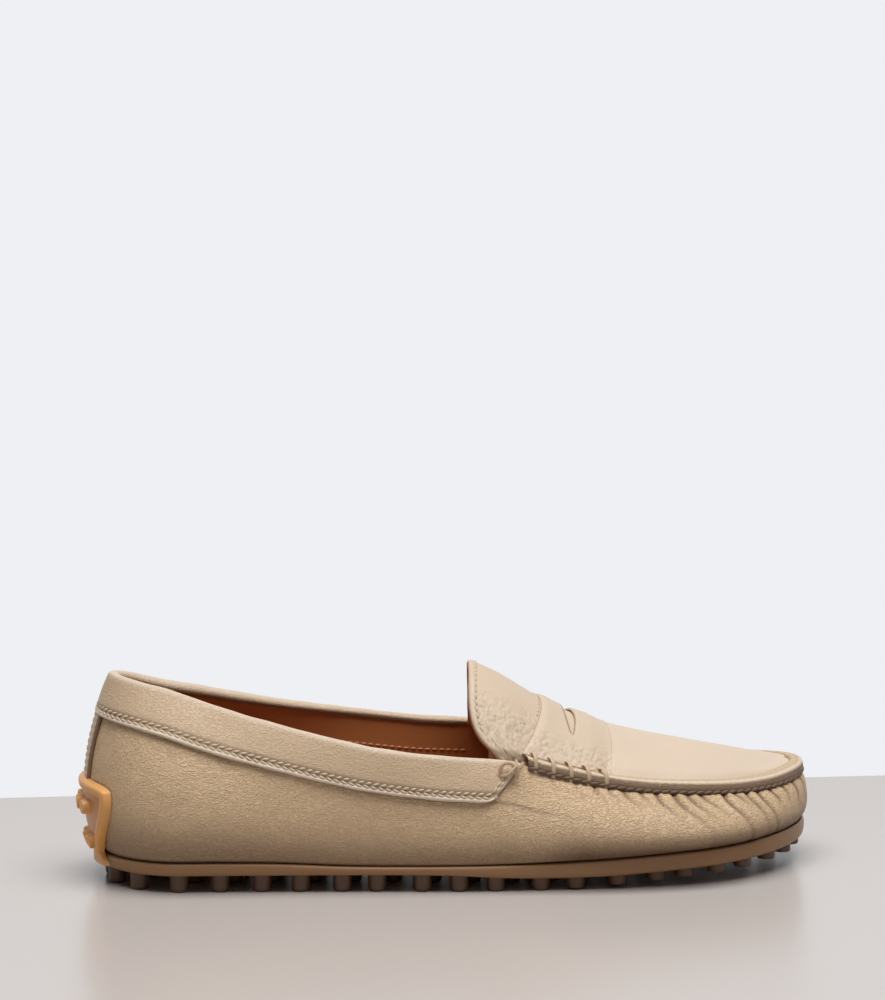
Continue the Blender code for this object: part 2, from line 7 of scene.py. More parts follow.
import math
from collections import namedtuple
from functools import lru_cache

import bmesh
import bpy
from bpy.props import FloatProperty, FloatVectorProperty, IntProperty, PointerProperty
from mathutils import Matrix, Quaternion, Vector, noise


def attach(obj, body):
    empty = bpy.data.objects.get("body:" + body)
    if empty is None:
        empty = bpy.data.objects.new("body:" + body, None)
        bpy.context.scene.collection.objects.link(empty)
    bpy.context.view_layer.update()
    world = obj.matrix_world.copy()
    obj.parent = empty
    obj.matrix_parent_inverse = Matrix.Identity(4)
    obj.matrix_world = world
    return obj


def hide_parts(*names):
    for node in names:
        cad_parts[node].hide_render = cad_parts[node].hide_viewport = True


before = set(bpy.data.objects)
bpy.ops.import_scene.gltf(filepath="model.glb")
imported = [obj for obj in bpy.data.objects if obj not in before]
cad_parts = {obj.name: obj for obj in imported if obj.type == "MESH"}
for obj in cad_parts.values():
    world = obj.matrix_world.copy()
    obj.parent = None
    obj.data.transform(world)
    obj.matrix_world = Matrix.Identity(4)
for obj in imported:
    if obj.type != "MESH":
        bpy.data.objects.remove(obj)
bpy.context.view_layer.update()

bl_info = {
    "name": "Driving Moccasin",
    "version": (1, 0, 0),
    "blender": (4, 5, 0),
    "location": "View3D > Sidebar > Moccasin",
    "description": "Builds a driving moccasin from leather, lining, thread and gum rubber",
    "category": "Object",
}


def named_rows(fields, *rows):
    """Rows of numbers with named columns."""
    row = namedtuple("Row", fields)
    return tuple(row(*values) for values in rows)


# The shoe's sizes, in metres.
LENGTH = 0.250
BALL_WIDTH = 0.090
HEEL_HEIGHT = 0.0700
INSTEP_HEIGHT = 0.0725
SOLE_EDGE_HEEL = 0.0087
SOLE_EDGE_TOE = 0.0022
GIRTH_HEEL = 0.0043
TOP_HEEL = 0.0132
TOP_TOE = 0.0022
SOLE_EDGE_ROUND_HEEL = 0.026
SOLE_EDGE_ROUND_TOE = 0.043
GIRTH_ROUND_HEEL = 0.031
GIRTH_ROUND_TOE = 0.050
TOP_ROUND_HEEL = 0.018
TOP_ROUND_TOE = 0.046
TOE_SWING = 0.0070

MERGE = 0.000001
GAP = 0.0003
UPPER_WALL = 0.0020
APRON_THICKNESS = 0.0014
TRIM_THICKNESS = 0.0006
THREAD_LIFT = 0.0001
STRAP_THICKNESS = 0.0013
STRAP_SHELL = 0.0003
COLLAR_END = 0.1465
BAND_HEIGHT = 0.0138
BAND_SLANT = 0.0072
BAND_CORNER_SHARE = 0.18
BAND_CORNER_POWER = 120
HEEL_STRIP_WIDTH = 0.0125
HEEL_STRIP_THICKNESS = 0.0010
SEAM_WIDTH = 0.0034
SEAM_RISE = 0.0030

TONGUE_CROWN = 0.1325
TONGUE_SIDE = 0.1360
TONGUE_SKIRT = 0.0044
TONGUE_LEAN = 0.0036
TONGUE_LEAN_POWER = 8.0
STRAP_REAR_CROWN = 0.1565
STRAP_REAR_SIDE = 0.1465
STRAP_FRONT_CROWN = 0.1798
STRAP_FRONT_SIDE = 0.1768
APRON_START = 0.1730
SLOT_CENTRE = 0.1662
SLOT_WIDTH = 0.0034
SLOT_SHARE = 0.64
SLOT_TAPER_POWER = 3.0

RIM_THICKNESS = 0.0062
RIM_OVERHANG = 0.0012
PEBBLE_HEIGHT = 0.0059
PEBBLE_DIAMETER = 0.0062
PEBBLE_PITCH = 0.0132
PEBBLE_PITCH_FORE = 0.0112
PEBBLE_FORE_START = 0.180
PEBBLE_FORE_BLEND = 0.015
PEBBLE_INSET = 0.0037
PEBBLE_SINK = 0.0010
INSOLE_THICKNESS = 0.0028
INSOLE_CLEARANCE = 0.0006
TAB_THICKNESS = 0.0026
TAB_HEIGHT = 0.0352
TAB_WIDTH = 0.0446
TAB_WAIST = 0.0190
TAB_WAIST_HEIGHT = 0.0115
TAB_FULL_HEIGHT = 0.0320
TAB_TOP_FALL_SHARE = 0.05
TAB_TOP_DRAW_SHARE = 0.06
TAB_TOP_POWER = 8
TAB_FRAME = 0.0036
TAB_PANEL_DEPTH = 0.0009
TAB_PEBBLE_DIAMETER = 0.0054
TAB_PEBBLE_RISE = 0.0022
TAB_PEBBLE_LOW = 0.0150
TAB_PEBBLE_LOW_SPREAD = 0.0060
TAB_PEBBLE_HIGH = 0.0265
TAB_PEBBLE_HIGH_SPREAD = 0.0080

WALL_LOW_SHARE = 0.20
WALL_HIGH_SHARE = 0.55
ROOF_ROUND_POWER = 2.1
TONGUE_SWEEP_POWER = 10.0
STRAP_SWEEP_POWER = 2.6

# The camera's aim: a height in metres, and a pitch and a turn off it in degrees.
AIM_HEIGHT = 0.030
CAMERA_PITCH = 3.403
CAMERA_TURN = 0.044

# Half-widths at the outer and inner side as shares of the ball width.
SECTIONS = named_rows(
    "along sole_out sole_in girth_out girth_in top_out top_in",
    (0.00, 0.300, 0.300, 0.345, 0.345, 0.140, 0.140),
    (0.07, 0.305, 0.302, 0.357, 0.349, 0.162, 0.155),
    (0.15, 0.318, 0.298, 0.368, 0.352, 0.222, 0.206),
    (0.35, 0.378, 0.268, 0.405, 0.325, 0.360, 0.330),
    (0.50, 0.436, 0.285, 0.455, 0.342, 0.382, 0.348),
    (0.60, 0.456, 0.325, 0.500, 0.380, 0.385, 0.348),
    (0.72, 0.476, 0.385, 0.5375, 0.430, 0.385, 0.345),
    (0.85, 0.452, 0.392, 0.515, 0.448, 0.350, 0.334),
    (1.00, 0.405, 0.368, 0.450, 0.420, 0.310, 0.310),
)

# Height of the top edge, collar and then moccasin seam, as shares of the heel height.
TOP_EDGE = named_rows(
    "along outer inner",
    (0.00, 1.000, 1.000),
    (0.07, 0.950, 0.922),
    (0.15, 0.864, 0.858),
    (0.25, 0.776, 0.780),
    (0.35, 0.698, 0.714),
    (0.45, 0.648, 0.664),
    (0.55, 0.614, 0.632),
    (0.60, 0.556, 0.566),
    (0.72, 0.464, 0.470),
    (0.85, 0.420, 0.424),
    (0.93, 0.412, 0.415),
    (1.00, 0.432, 0.432),
)

# Height of the roof's crown as shares of the instep height.
CROWN = named_rows(
    "along height",
    (0.53, 0.985),
    (0.57, 0.920),
    (0.61, 0.834),
    (0.65, 0.748),
    (0.69, 0.694),
    (0.74, 0.642),
    (0.80, 0.589),
    (0.86, 0.552),
    (0.92, 0.520),
    (0.96, 0.476),
    (1.00, 0.430),
)

# The pebbles' ends and the underside as shares of the pebble height, and the rim as a share of its thickness.
PROFILE = named_rows(
    "along foot under rim",
    (0.00, 0.00, 1.00, 0.70),
    (0.22, 0.00, 1.00, 0.66),
    (0.34, 0.00, 1.00, 0.48),
    (0.47, 0.00, 0.97, 0.50),
    (0.56, 0.00, 0.78, 0.72),
    (0.61, 0.00, 0.74, 0.81),
    (0.67, 0.12, 0.76, 0.89),
    (0.77, 0.40, 0.93, 0.93),
    (0.88, 0.66, 1.18, 0.93),
    (1.00, 0.95, 1.45, 0.96),
)

# Section of the collar band, from inside the collar over its rolled rim to the folded lower edge.
# drop is a share of the band's height and out a share of its stand-off from the wall.
# tone paints a highlight on the rolled rim and the fold, and shade inside the collar, in the groove above the
# fold and under the folded edge.
BAND_FOLD = named_rows(
    "along drop out tone",
    (0.00, 0.150, -1.55, -0.9),
    (0.09, 0.092, -1.62, -0.9),
    (0.15, 0.040, -1.50, 0.0),
    (0.20, 0.000, -1.10, 0.2),
    (0.25, -0.020, -0.40, 0.5),
    (0.30, 0.005, 0.35, 0.6),
    (0.36, 0.070, 0.85, 0.3),
    (0.45, 0.210, 0.92, 0.0),
    (0.62, 0.500, 1.02, 0.0),
    (0.74, 0.730, 1.02, 0.0),
    (0.80, 0.790, 0.80, -0.3),
    (0.86, 0.895, 0.78, -0.3),
    (0.90, 0.935, 1.02, 0.6),
    (0.94, 0.980, 1.00, 0.8),
    (0.97, 1.000, 0.60, 0.0),
    (1.00, 0.990, 0.15, -0.9),
)

# Section of the moccasin seam, from under its face over the lip to the apron's border.
# out and up are measured from the wall's top edge, as shares of the seam's width and of its rise.
# tone paints shade on the face and where the seam drops to the apron, and a highlight on the lip's crest,
# which makes the lip pale.
SEAM_FOLD = named_rows(
    "along out up tone",
    (0.00, -0.10, -0.42, -0.8),
    (0.07, 0.16, -0.30, -0.8),
    (0.15, 0.30, -0.04, -1.0),
    (0.25, 0.31, 0.22, -1.0),
    (0.36, 0.27, 0.50, -0.9),
    (0.42, 0.19, 0.68, -1.0),
    (0.47, 0.15, 0.76, -0.6),
    (0.52, 0.17, 0.88, 0.2),
    (0.58, 0.08, 0.97, 0.7),
    (0.66, -0.24, 1.00, -0.1),
    (0.76, -0.55, 1.03, 0.0),
    (0.84, -0.80, 1.03, 0.0),
    (0.92, -1.00, 0.99, -0.4),
    (1.00, -1.02, 0.40, -0.6),
)

# Creases of the vamp. start is the distance from the heel end at the seam, and drop, lean,
# width and depth are in metres. A crease leans towards the toe as it runs down.
CREASES = named_rows(
    "side start drop lean width depth",
    (-1, 0.1560, 0.0068, 0.0027, 0.00058, 0.00016),
    (-1, 0.1635, 0.0081, 0.0041, 0.00062, 0.00020),
    (-1, 0.1700, 0.0095, 0.0054, 0.00062, 0.00026),
    (-1, 0.1745, 0.0081, 0.0054, 0.00058, 0.00026),
    (-1, 0.1795, 0.0108, 0.0081, 0.00062, 0.00030),
    (-1, 0.1860, 0.0088, 0.0043, 0.00058, 0.00034),
    (-1, 0.1905, 0.0162, 0.0108, 0.00068, 0.00040),
    (-1, 0.1965, 0.0203, 0.0149, 0.00075, 0.00055),
    (-1, 0.2015, 0.0162, 0.0121, 0.00068, 0.00044),
    (-1, 0.2065, 0.0135, 0.0108, 0.00062, 0.00034),
    (-1, 0.2145, 0.0216, 0.0135, 0.00075, 0.00060),
    (-1, 0.2190, 0.0108, 0.0068, 0.00058, 0.00030),
    (-1, 0.2230, 0.0175, 0.0095, 0.00068, 0.00048),
    (-1, 0.2275, 0.0189, 0.0095, 0.00068, 0.00054),
    (-1, 0.2325, 0.0121, 0.0054, 0.00062, 0.00034),
    (-1, 0.2375, 0.0108, 0.0027, 0.00062, 0.00028),
    (-1, 0.2420, 0.0121, 0.0014, 0.00062, 0.00030),
    (-1, 0.2455, 0.0095, 0.0000, 0.00062, 0.00026),
    (1, 0.2440, 0.0115, 0.0007, 0.00062, 0.00030),
    (1, 0.2395, 0.0135, 0.0027, 0.00062, 0.00034),
    (1, 0.2340, 0.0162, 0.0054, 0.00068, 0.00044),
    (1, 0.2285, 0.0135, 0.0068, 0.00062, 0.00036),
    (1, 0.2220, 0.0203, 0.0108, 0.00075, 0.00054),
    (1, 0.2160, 0.0135, 0.0081, 0.00062, 0.00036),
    (1, 0.2095, 0.0189, 0.0121, 0.00075, 0.00050),
    (1, 0.2030, 0.0121, 0.0081, 0.00062, 0.00034),
    (1, 0.1970, 0.0162, 0.0108, 0.00068, 0.00042),
    (1, 0.1900, 0.0108, 0.0068, 0.00062, 0.00030),
    (1, 0.1830, 0.0121, 0.0068, 0.00062, 0.00032),
    (1, 0.1760, 0.0081, 0.0041, 0.00062, 0.00024),
    (1, 0.1680, 0.0081, 0.0041, 0.00062, 0.00022),
    (1, 0.1600, 0.0068, 0.0027, 0.00058, 0.00018),
)

# Section of a pebble: radius and height as shares of its own.
PEBBLE_TURN = named_rows(
    "radius height",
    (0.00, 0.00),
    (0.74, 0.00),
    (0.93, 0.05),
    (1.00, 0.20),
    (1.00, 0.74),
    (1.14, 1.00),
    (0.00, 1.00),
)

# Side of the rubber slab: how far it draws in, as a share of the overhang, by height in the slab.
RIM_TURN = named_rows(
    "along draw",
    (0.00, 1.00),
    (0.08, 0.52),
    (0.22, 0.20),
    (0.50, 0.02),
    (0.75, 0.02),
    (0.92, 0.22),
    (1.00, 0.55),
)

# A turn of the lace over the seam, out from the wall's top edge and up from it, as shares of the seam's
# width and of its rise.
LACE_TURN = (
    (-1.75, 0.75),
    (-1.55, 1.25),
    (-1.25, 1.52),
    (-0.80, 1.66),
    (-0.30, 1.72),
    (0.05, 1.55),
    (0.30, 1.20),
    (0.42, 0.70),
    (0.42, 0.20),
    (0.36, -0.20),
    (0.15, -0.55),
)

# Strands of the lace's knot, as distances along the rim, up and out from its middle, in metres.
KNOT_ARCH = (
    (-0.0026, -0.0026, -0.0004),
    (-0.0031, 0.0002, 0.0003),
    (-0.0017, 0.0027, 0.0006),
    (0.0010, 0.0028, 0.0006),
    (0.0025, 0.0008, 0.0004),
    (0.0026, -0.0022, -0.0002),
)
KNOT_ACROSS = (
    (-0.0026, -0.0020, 0.0002),
    (-0.0008, -0.0014, 0.0012),
    (0.0008, 0.0004, 0.0014),
    (0.0026, 0.0022, 0.0004),
)
KNOT_WRAP = (
    (0.0026, 0.0036, -0.0012),
    (0.0029, 0.0026, 0.0010),
    (0.0030, 0.0000, 0.0012),
    (0.0029, -0.0022, 0.0004),
)
KNOT_END = (
    (0.0030, 0.0010, 0.0002),
    (0.0042, 0.0018, 0.0008),
    (0.0048, 0.0036, 0.0002),
)

Outline = namedtuple("Outline", "heel toe round_heel round_toe outer inner")
SOLE_EDGE = Outline(
    SOLE_EDGE_HEEL, SOLE_EDGE_TOE, SOLE_EDGE_ROUND_HEEL, SOLE_EDGE_ROUND_TOE, "sole_out", "sole_in"
)
GIRTH = Outline(GIRTH_HEEL, 0.0, GIRTH_ROUND_HEEL, GIRTH_ROUND_TOE, "girth_out", "girth_in")
TOP = Outline(TOP_HEEL, TOP_TOE, TOP_ROUND_HEEL, TOP_ROUND_TOE, "top_out", "top_in")


def tint(red, green, blue):
    """Linear colour from its values out of 255."""
    shares = [value / 255 for value in (red, green, blue)]
    return tuple(c / 12.92 if c <= 0.04 else ((c + 0.055) / 1.055) ** 2.4 for c in shares)


def color_setting(label, description, red, green, blue):
    """A colour, given by its values out of 255."""
    linear = tint(red, green, blue)
    return FloatVectorProperty(
        name=label, description=description, default=linear, subtype="COLOR", min=0, max=1
    )


def length_setting(label, description, default):
    """A length in metres."""
    return FloatProperty(name=label, description=description, default=default, unit="LENGTH")


def plain_setting(label, description, default, highest=1.0):
    """A number without a unit, from 0 to its highest value."""
    return FloatProperty(name=label, description=description, default=default, min=0, max=highest)


def angle_setting(label, description, degrees):
    """An angle."""
    default = math.radians(degrees)
    return FloatProperty(name=label, description=description, default=default, subtype="ANGLE")


class MoccasinLeather(bpy.types.PropertyGroup):
    """Leather of the upper and its trim."""

    color: color_setting("Leather", "Colour of the leather", 212, 181, 143)
    # Paler and less saturated than the quarters: partly the smooth leather's own colour and partly painted
    # sheen of the top faces under the overhead light.
    top_color: color_setting("Apron", "Colour of the apron, tongue and strap", 208, 186, 161)
    trim_color: color_setting("Trim", "Colour of the collar band, seam and lace", 200, 173, 141)
    # Painted shade: a negative tone mixes towards this colour in creases, recesses, under edges and towards
    # the sole; it also darkens the heel strip's edges, and the grain's valleys take a little of it.
    deep_color: color_setting("Crease", "Colour in creases and under edges", 98, 70, 48)
    # Painted highlight: a positive tone mixes towards this pale colour on rolled rims, folds, free edges and
    # the apron and strap tops.
    edge_highlight_color: color_setting("Edge", "Colour of folded and rubbed edges", 232, 216, 198)
    grain_cell: length_setting("Grain cell", "Width of one cell of the grain", 0.0010)
    grain_depth: length_setting("Grain depth", "Depth of the grain's valleys", 0.00042)
    roughness: plain_setting("Roughness", "Roughness of the leather's finish", 0.46)
    crease_depth: plain_setting(
        "Crease depth", "How deep the vamp's creases are, times their own depth", 1.35, 3.0
    )


class MoccasinLining(bpy.types.PropertyGroup):
    """Lining and footbed."""

    color: color_setting("Lining", "Colour of the lining leather", 178, 108, 58)
    thickness: length_setting("Thickness", "Thickness of the lining leather", 0.0008)


class MoccasinTrim(bpy.types.PropertyGroup):
    """Collar band, seams, thread and lace."""

    band_out: length_setting("Band stand-off", "How far the collar band's face stands off the wall", 0.0017)
    thread_color: color_setting("Thread", "Colour of the stitching", 222, 203, 178)
    lining_thread_color: color_setting(
        "Lining thread", "Colour of the stitches that show on the lining", 196, 138, 92
    )
    seam_thread_color: color_setting("Seam thread", "Colour of the moccasin seam's stitches", 112, 88, 70)
    stitch_pitch: length_setting("Stitch pitch", "Distance from stitch to stitch", 0.0025)
    stitch_length: length_setting("Stitch length", "Length of a stitch", 0.0021)
    thread_radius: length_setting("Thread radius", "Radius of the thread", 0.00042)
    seam_pitch: length_setting(
        "Seam pitch", "Distance from stitch to stitch along the moccasin seam", 0.0031
    )
    lace_width: length_setting(
        "Lace width", "Width of the lace that whips the seam beside the strap", 0.0015
    )
    lace_pitch: length_setting("Lace pitch", "Distance from turn to turn of the lace", 0.0059)
    lace_turns: IntProperty(
        name="Lace turns",
        description="Number of turns of the lace on each side",
        default=5,
        min=0,
        max=12,
    )


class MoccasinRubber(bpy.types.PropertyGroup):
    """Gum rubber sole."""

    color: color_setting("Gum", "Colour of the gum rubber", 232, 172, 100)
    panel_color: color_setting("Panel", "Colour of the heel tab's sunk panel", 184, 126, 92)
    # Darker than the gum: partly the slab's own rubber colour and partly painted shade on its side and
    # underside.
    slab_color: color_setting("Slab", "Colour of the slab's side and underside", 150, 112, 72)
    # Darker still: partly the pebbles' own colour and partly painted shade under the slab.
    pebble_color: color_setting("Pebbles", "Colour of the pebbles under the slab", 88, 62, 42)
    roughness: plain_setting("Roughness", "Roughness of the rubber", 0.40)


class MoccasinStudio(bpy.types.PropertyGroup):
    """Table, light and camera."""

    floor_color: color_setting("Table", "Colour of the table", 196, 188, 183)
    wall_color: color_setting("Wall", "Colour of the wall far behind the table", 238, 240, 244)
    table_back: length_setting(
        "Table back", "Distance from the shoe's middle line to the table's far edge", 0.130
    )
    wall_glow: FloatProperty(
        name="Room light",
        description="Strength of the room's light on the shoe",
        default=0.11,
        min=0,
    )
    lamp_power: FloatProperty(
        name="Lamp power",
        description="Power of the softbox overhead",
        default=18.5,
        unit="POWER",
    )
    lamp_forward: length_setting("Lamp forward", "How far the softbox hangs towards the camera", 0.28)
    lamp_width: length_setting("Lamp width", "Width of the softbox overhead", 1.15)
    lamp_height: length_setting("Lamp height", "Height of the softbox over the table", 1.2)
    distance: length_setting("Camera distance", "Distance from the camera to the shoe", 1.6)
    azimuth: angle_setting("Azimuth", "Turn of the camera round the shoe, towards the toe", -7)
    elevation: angle_setting("Elevation", "Height of the camera as an angle over the table", 12)
    lens: FloatProperty(
        name="Lens",
        description="Focal length for a 36 mm frame, in millimetres",
        default=170.0,
        min=1,
    )


def read(table, column, along):
    """A column of a table at a share of the length, on a smooth curve through the rows."""
    rows = [(row.along, getattr(row, column)) for row in table]
    if along <= rows[0][0]:
        return rows[0][1]
    if along >= rows[-1][0]:
        return rows[-1][1]
    k = max(i for i in range(len(rows) - 1) if rows[i][0] <= along)

    def slope(i):
        low, high = max(i - 1, 0), min(i + 1, len(rows) - 1)
        return (rows[high][1] - rows[low][1]) / (rows[high][0] - rows[low][0])

    (x0, y0), (x1, y1) = rows[k], rows[k + 1]
    step = x1 - x0
    s = (along - x0) / step
    rise = y0 * (1 + 2 * s) * (1 - s) ** 2 + y1 * s * s * (3 - 2 * s)
    return rise + step * (slope(k) * s * (1 - s) ** 2 - slope(k + 1) * s * s * (1 - s))


def smooth(value, low, high):
    """0 below low, 1 above high, and a soft step between."""
    share = max(0.0, min(1.0, (value - low) / (high - low)))
    return share * share * (3 - 2 * share)


def end_round(distance, reach):
    """Zero at an end of an outline, growing to 1 like a quarter ellipse."""
    if distance >= reach:
        return 1.0
    return math.sqrt(max(0.0, 1 - (1 - max(distance, 0.0) / reach) ** 2))


def span_of(outline, grow=0.0):
    """The outline's X at its heel and at its toe, when it is widened all round by grow."""
    return -LENGTH / 2 + outline.heel - grow, LENGTH / 2 - outline.toe + grow


@lru_cache(maxsize=None)
def edge(outline, side, along, grow=0.0):
    """Plan position of a point on an outline: side is -1 outer or +1 inner, along runs from heel to toe."""
    back, front = span_of(outline, grow)
    x = back + along * (front - back)
    width = BALL_WIDTH * read(SECTIONS, outline.outer if side < 0 else outline.inner, along) + grow
    width *= end_round(x - back, outline.round_heel + grow) * end_round(front - x, outline.round_toe + grow)
    return Vector((x, TOE_SWING * along * along + side * width))


def edge_at_x(outline, side, x, grow=0.0):
    """Y of an outline at a given X."""
    back, front = span_of(outline, grow)
    return edge(outline, side, (x - back) / (front - back), grow).y


def along_of(u):
    """Share of the length at ring position u: 0 to 1 along the outer side, 1 to 2 back along the inner."""
    return (1 - math.cos(math.pi * u)) / 2


def side_of(u):
    """-1 on the outer side and +1 on the inner side."""
    return -1 if u % 2 <= 1 else 1


def ring_position(along):
    """Ring position on the outer side at a share of the length."""
    return math.acos(max(-1.0, min(1.0, 1 - 2 * along))) / math.pi


def sole_line(column, x):
    """A column of the sole's profile at X."""
    back, front = span_of(SOLE_EDGE)
    return read(PROFILE, column, (x - back) / (front - back))


@lru_cache(maxsize=None)
def slab_height(x, share):
    """Height inside the slab at X: share 0 at its underside, 1 at its top."""
    return PEBBLE_HEIGHT * sole_line("under", x) + share * RIM_THICKNESS * sole_line("rim", x)


@lru_cache(maxsize=None)
def top_height(side, along):
    return HEEL_HEIGHT * read(TOP_EDGE, "outer" if side < 0 else "inner", along)


@lru_cache(maxsize=None)
def wall_frame(u):
    """The wall's curve at a ring position: foot, control and top in plan, its foot's height and its own."""
    side, along = side_of(u), along_of(u)
    foot, girth, top = (edge(outline, side, along) for outline in (SOLE_EDGE, GIRTH, TOP))
    low = slab_height(foot.x, 1) + GAP
    return foot, (8 * girth - foot - top) / 6, top, low, top_height(side, along) - low


def wall(u, rise):
    """Outer face of the wall at ring position u: rise 0 at the sole, 0.5 at the girth, 1 at the top edge."""
    foot, control, top, low, height = wall_frame(u)
    a, b, c, d = (1 - rise) ** 3, 3 * rise * (1 - rise) ** 2, 3 * rise * rise * (1 - rise), rise**3
    plan = a * foot + (b + c) * control + d * top
    return Vector((plan.x, plan.y, low + height * (b * WALL_LOW_SHARE + c * WALL_HIGH_SHARE + d)))


def normal_of(surface, u, v, step_u, step_v):
    """Unit normal of a surface of two parameters, from points on either side."""
    across = surface(u + step_u, v) - surface(u - step_u, v)
    upward = surface(u, v + step_v) - surface(u, v - step_v)
    return across.cross(upward).normalized()


def wall_normal(u, rise):
    return normal_of(wall, u, rise, 0.004, 0.004)


def wall_out(u, rise, out):
    """A point off the wall's outer face by the distance out."""
    return wall(u, rise) + out * wall_normal(u, rise)


def roof(x, across):
    """Top face of the apron and tongue at X: across runs from -1 at the outer seam to +1 at the inner one."""
    back, front = span_of(TOP, -SEAM_WIDTH)
    x = min(x, front)
    along = (x - back) / (front - back)
    left, right = edge_at_x(TOP, -1, x, -SEAM_WIDTH), edge_at_x(TOP, 1, x, -SEAM_WIDTH)
    share = (across + 1) / 2
    sides = (1 - share) * top_height(-1, along) + share * top_height(1, along) + SEAM_RISE
    middle = (top_height(-1, along) + top_height(1, along)) / 2 + SEAM_RISE
    crown = INSTEP_HEIGHT * read(CROWN, "height", (x + LENGTH / 2) / LENGTH)
    closing = end_round(front - x, TOP_ROUND_TOE)
    arch = (crown - middle) * closing * (1 - abs(across) ** ROOF_ROUND_POWER)
    return Vector((x, left + share * (right - left), sides + arch))


def roof_normal(x, across):
    near = min(x, span_of(TOP, -SEAM_WIDTH)[1] - 0.0015)
    return normal_of(roof, near, max(-0.97, min(0.97, across)), 0.001, 0.02)


def roof_out(x, across, out):
    """A point off the roof's top face by the distance out."""
    return roof(x, across) + out * roof_normal(x, across)


def rise_at_height(u, height):
    """Rise on the wall where its outer face stands at a height."""
    low, high = -0.2, 1.0
    for _ in range(16):
        middle = (low + high) / 2
        if wall(u, middle).z < height:
            low = middle
        else:
            high = middle
    return low


def u_at_arc(arc, rise):
    """Ring position whose point on the wall lies an arc length from the back centre line."""
    steps = 24
    u, travelled = 0.0, 0.0
    while travelled < abs(arc):
        travelled += (wall(u + 0.5 / steps, rise) - wall(u, rise)).length
        u += 0.5 / steps
    previous = (wall(u, rise) - wall(u - 0.5 / steps, rise)).length
    u -= 0.5 / steps * (travelled - abs(arc)) / previous
    return math.copysign(u, arc)


def outer_u(distance):
    """Ring position on the outer side at a distance from the heel end."""
    back, front = span_of(TOP)
    return ring_position((distance - LENGTH / 2 - back) / (front - back))


def side_u(side, distance):
    """Ring position on either side at a distance from the heel end."""
    return outer_u(distance) if side < 0 else 2 - outer_u(distance)


def seam_place(u, out, up):
    """A point by the wall's top edge: out from it in plan, and up from its height."""
    side, along = side_of(u), along_of(u)
    plan = edge(TOP, side, along, round(out, 7))
    return Vector((plan.x, plan.y, top_height(side, along) + up))


ARC_STEPS = 400
ARCS = [0.0]
for k in range(ARC_STEPS):
    ARCS.append(ARCS[-1] + (wall(2 * (k + 1) / ARC_STEPS, 1) - wall(2 * k / ARC_STEPS, 1)).length)


def seam_arc(u):
    """Length along the top edge from the heel to a ring position."""
    place = max(0.0, min(ARC_STEPS - 1e-6, u * ARC_STEPS / 2))
    k = int(place)
    return ARCS[k] + (place - k) * (ARCS[k + 1] - ARCS[k])


def new_bmesh():
    """A bmesh whose vertices keep their place in the grid and a tone, from -1 dark to +1 light, which on
    leather is painted shade and painted highlight.
    """
    bm = bmesh.new()
    bm.verts.layers.float_vector.new("grid")
    bm.verts.layers.float.new("tone")
    return bm


def patch(bm, columns, rows, place):
    """Adds a grid to a bmesh, each vertex set by place(share along, share across)."""
    grid = bm.verts.layers.float_vector["grid"]
    made = bmesh.ops.create_grid(bm, x_segments=columns, y_segments=rows, size=0.5)["verts"]
    for vertex in made:
        i = round((vertex.co.x + 0.5) * columns) / columns
        j = round((vertex.co.y + 0.5) * rows) / rows
        vertex[grid] = (i, j, 0)
        vertex.co = place(i, j)
    return made


def emboss(bm, relief):
    """Moves each vertex along its normal by relief(along, across, place), which also gives its tone."""
    bmesh.ops.remove_doubles(bm, verts=bm.verts, dist=MERGE)
    bm.normal_update()
    grid = bm.verts.layers.float_vector["grid"]
    tone = bm.verts.layers.float["tone"]
    moves = [(v, relief(v[grid].x, v[grid].y, v.co)) for v in bm.verts]
    normals = [v.normal.copy() for v in bm.verts]
    for (vertex, (height, shade)), normal in zip(moves, normals):
        vertex.co += normal * height
        vertex[tone] = shade


def finish_piece(name, bm, material, slot, *solids, closed=False, thickness=0.0):
    """Makes a bmesh into a smooth piece that moves with the shoe and stands for the named solids.

    An open surface grows inwards by its thickness.
    """
    bmesh.ops.remove_doubles(bm, verts=bm.verts, dist=MERGE)
    bmesh.ops.dissolve_degenerate(bm, edges=bm.edges, dist=MERGE)
    if closed:
        bmesh.ops.recalc_face_normals(bm, faces=bm.faces)
    bm.verts.layers.float_vector.remove(bm.verts.layers.float_vector["grid"])
    mesh = bpy.data.meshes.new(name)
    bm.to_mesh(mesh)
    bm.free()
    if not mesh.polygons:
        raise RuntimeError(f"{name} has no faces")
    mesh.shade_smooth()
    mesh.set_sharp_from_angle(angle=math.radians(50))
    mesh.materials.append(material)
    made = bpy.data.objects.new(name, mesh)
    bpy.context.scene.collection.objects.link(made)
    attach(made, "root")
    if solids:
        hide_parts(*solids)
    if thickness:
        solid = made.modifiers.new("Thickness", "SOLIDIFY")
        solid.thickness = thickness
        solid.offset = -1


def join(bm, part):
    """Adds a closed part, made in a bmesh of its own, to a piece."""
    bmesh.ops.recalc_face_normals(part, faces=part.faces)
    mesh = bpy.data.meshes.new("part")
    part.to_mesh(mesh)
    part.free()
    bm.from_mesh(mesh)
    bpy.data.meshes.remove(mesh)


def heading(path, k):
    """Direction of a path at its point k."""
    return (path[min(k + 1, len(path) - 1)] - path[max(k - 1, 0)]).normalized()


def tube(bm, centres, frames, sides, wide, thick):
    """A closed tube round centres. frames holds the directions of its width and thickness at each centre."""
    last = len(centres) - 1

    def place(i, j):
        k = round(i * last)
        angle = 2 * math.pi * j
        aside, face = frames[k]
        return centres[k] + (aside * (wide * math.cos(angle)) + face * (thick * math.sin(angle)))

    part = new_bmesh()
    patch(part, last, sides, place)
    bmesh.ops.remove_doubles(part, verts=part.verts, dist=MERGE / 10)
    bmesh.ops.holes_fill(part, edges=[e for e in part.edges if e.is_boundary], sides=sides)
    join(bm, part)


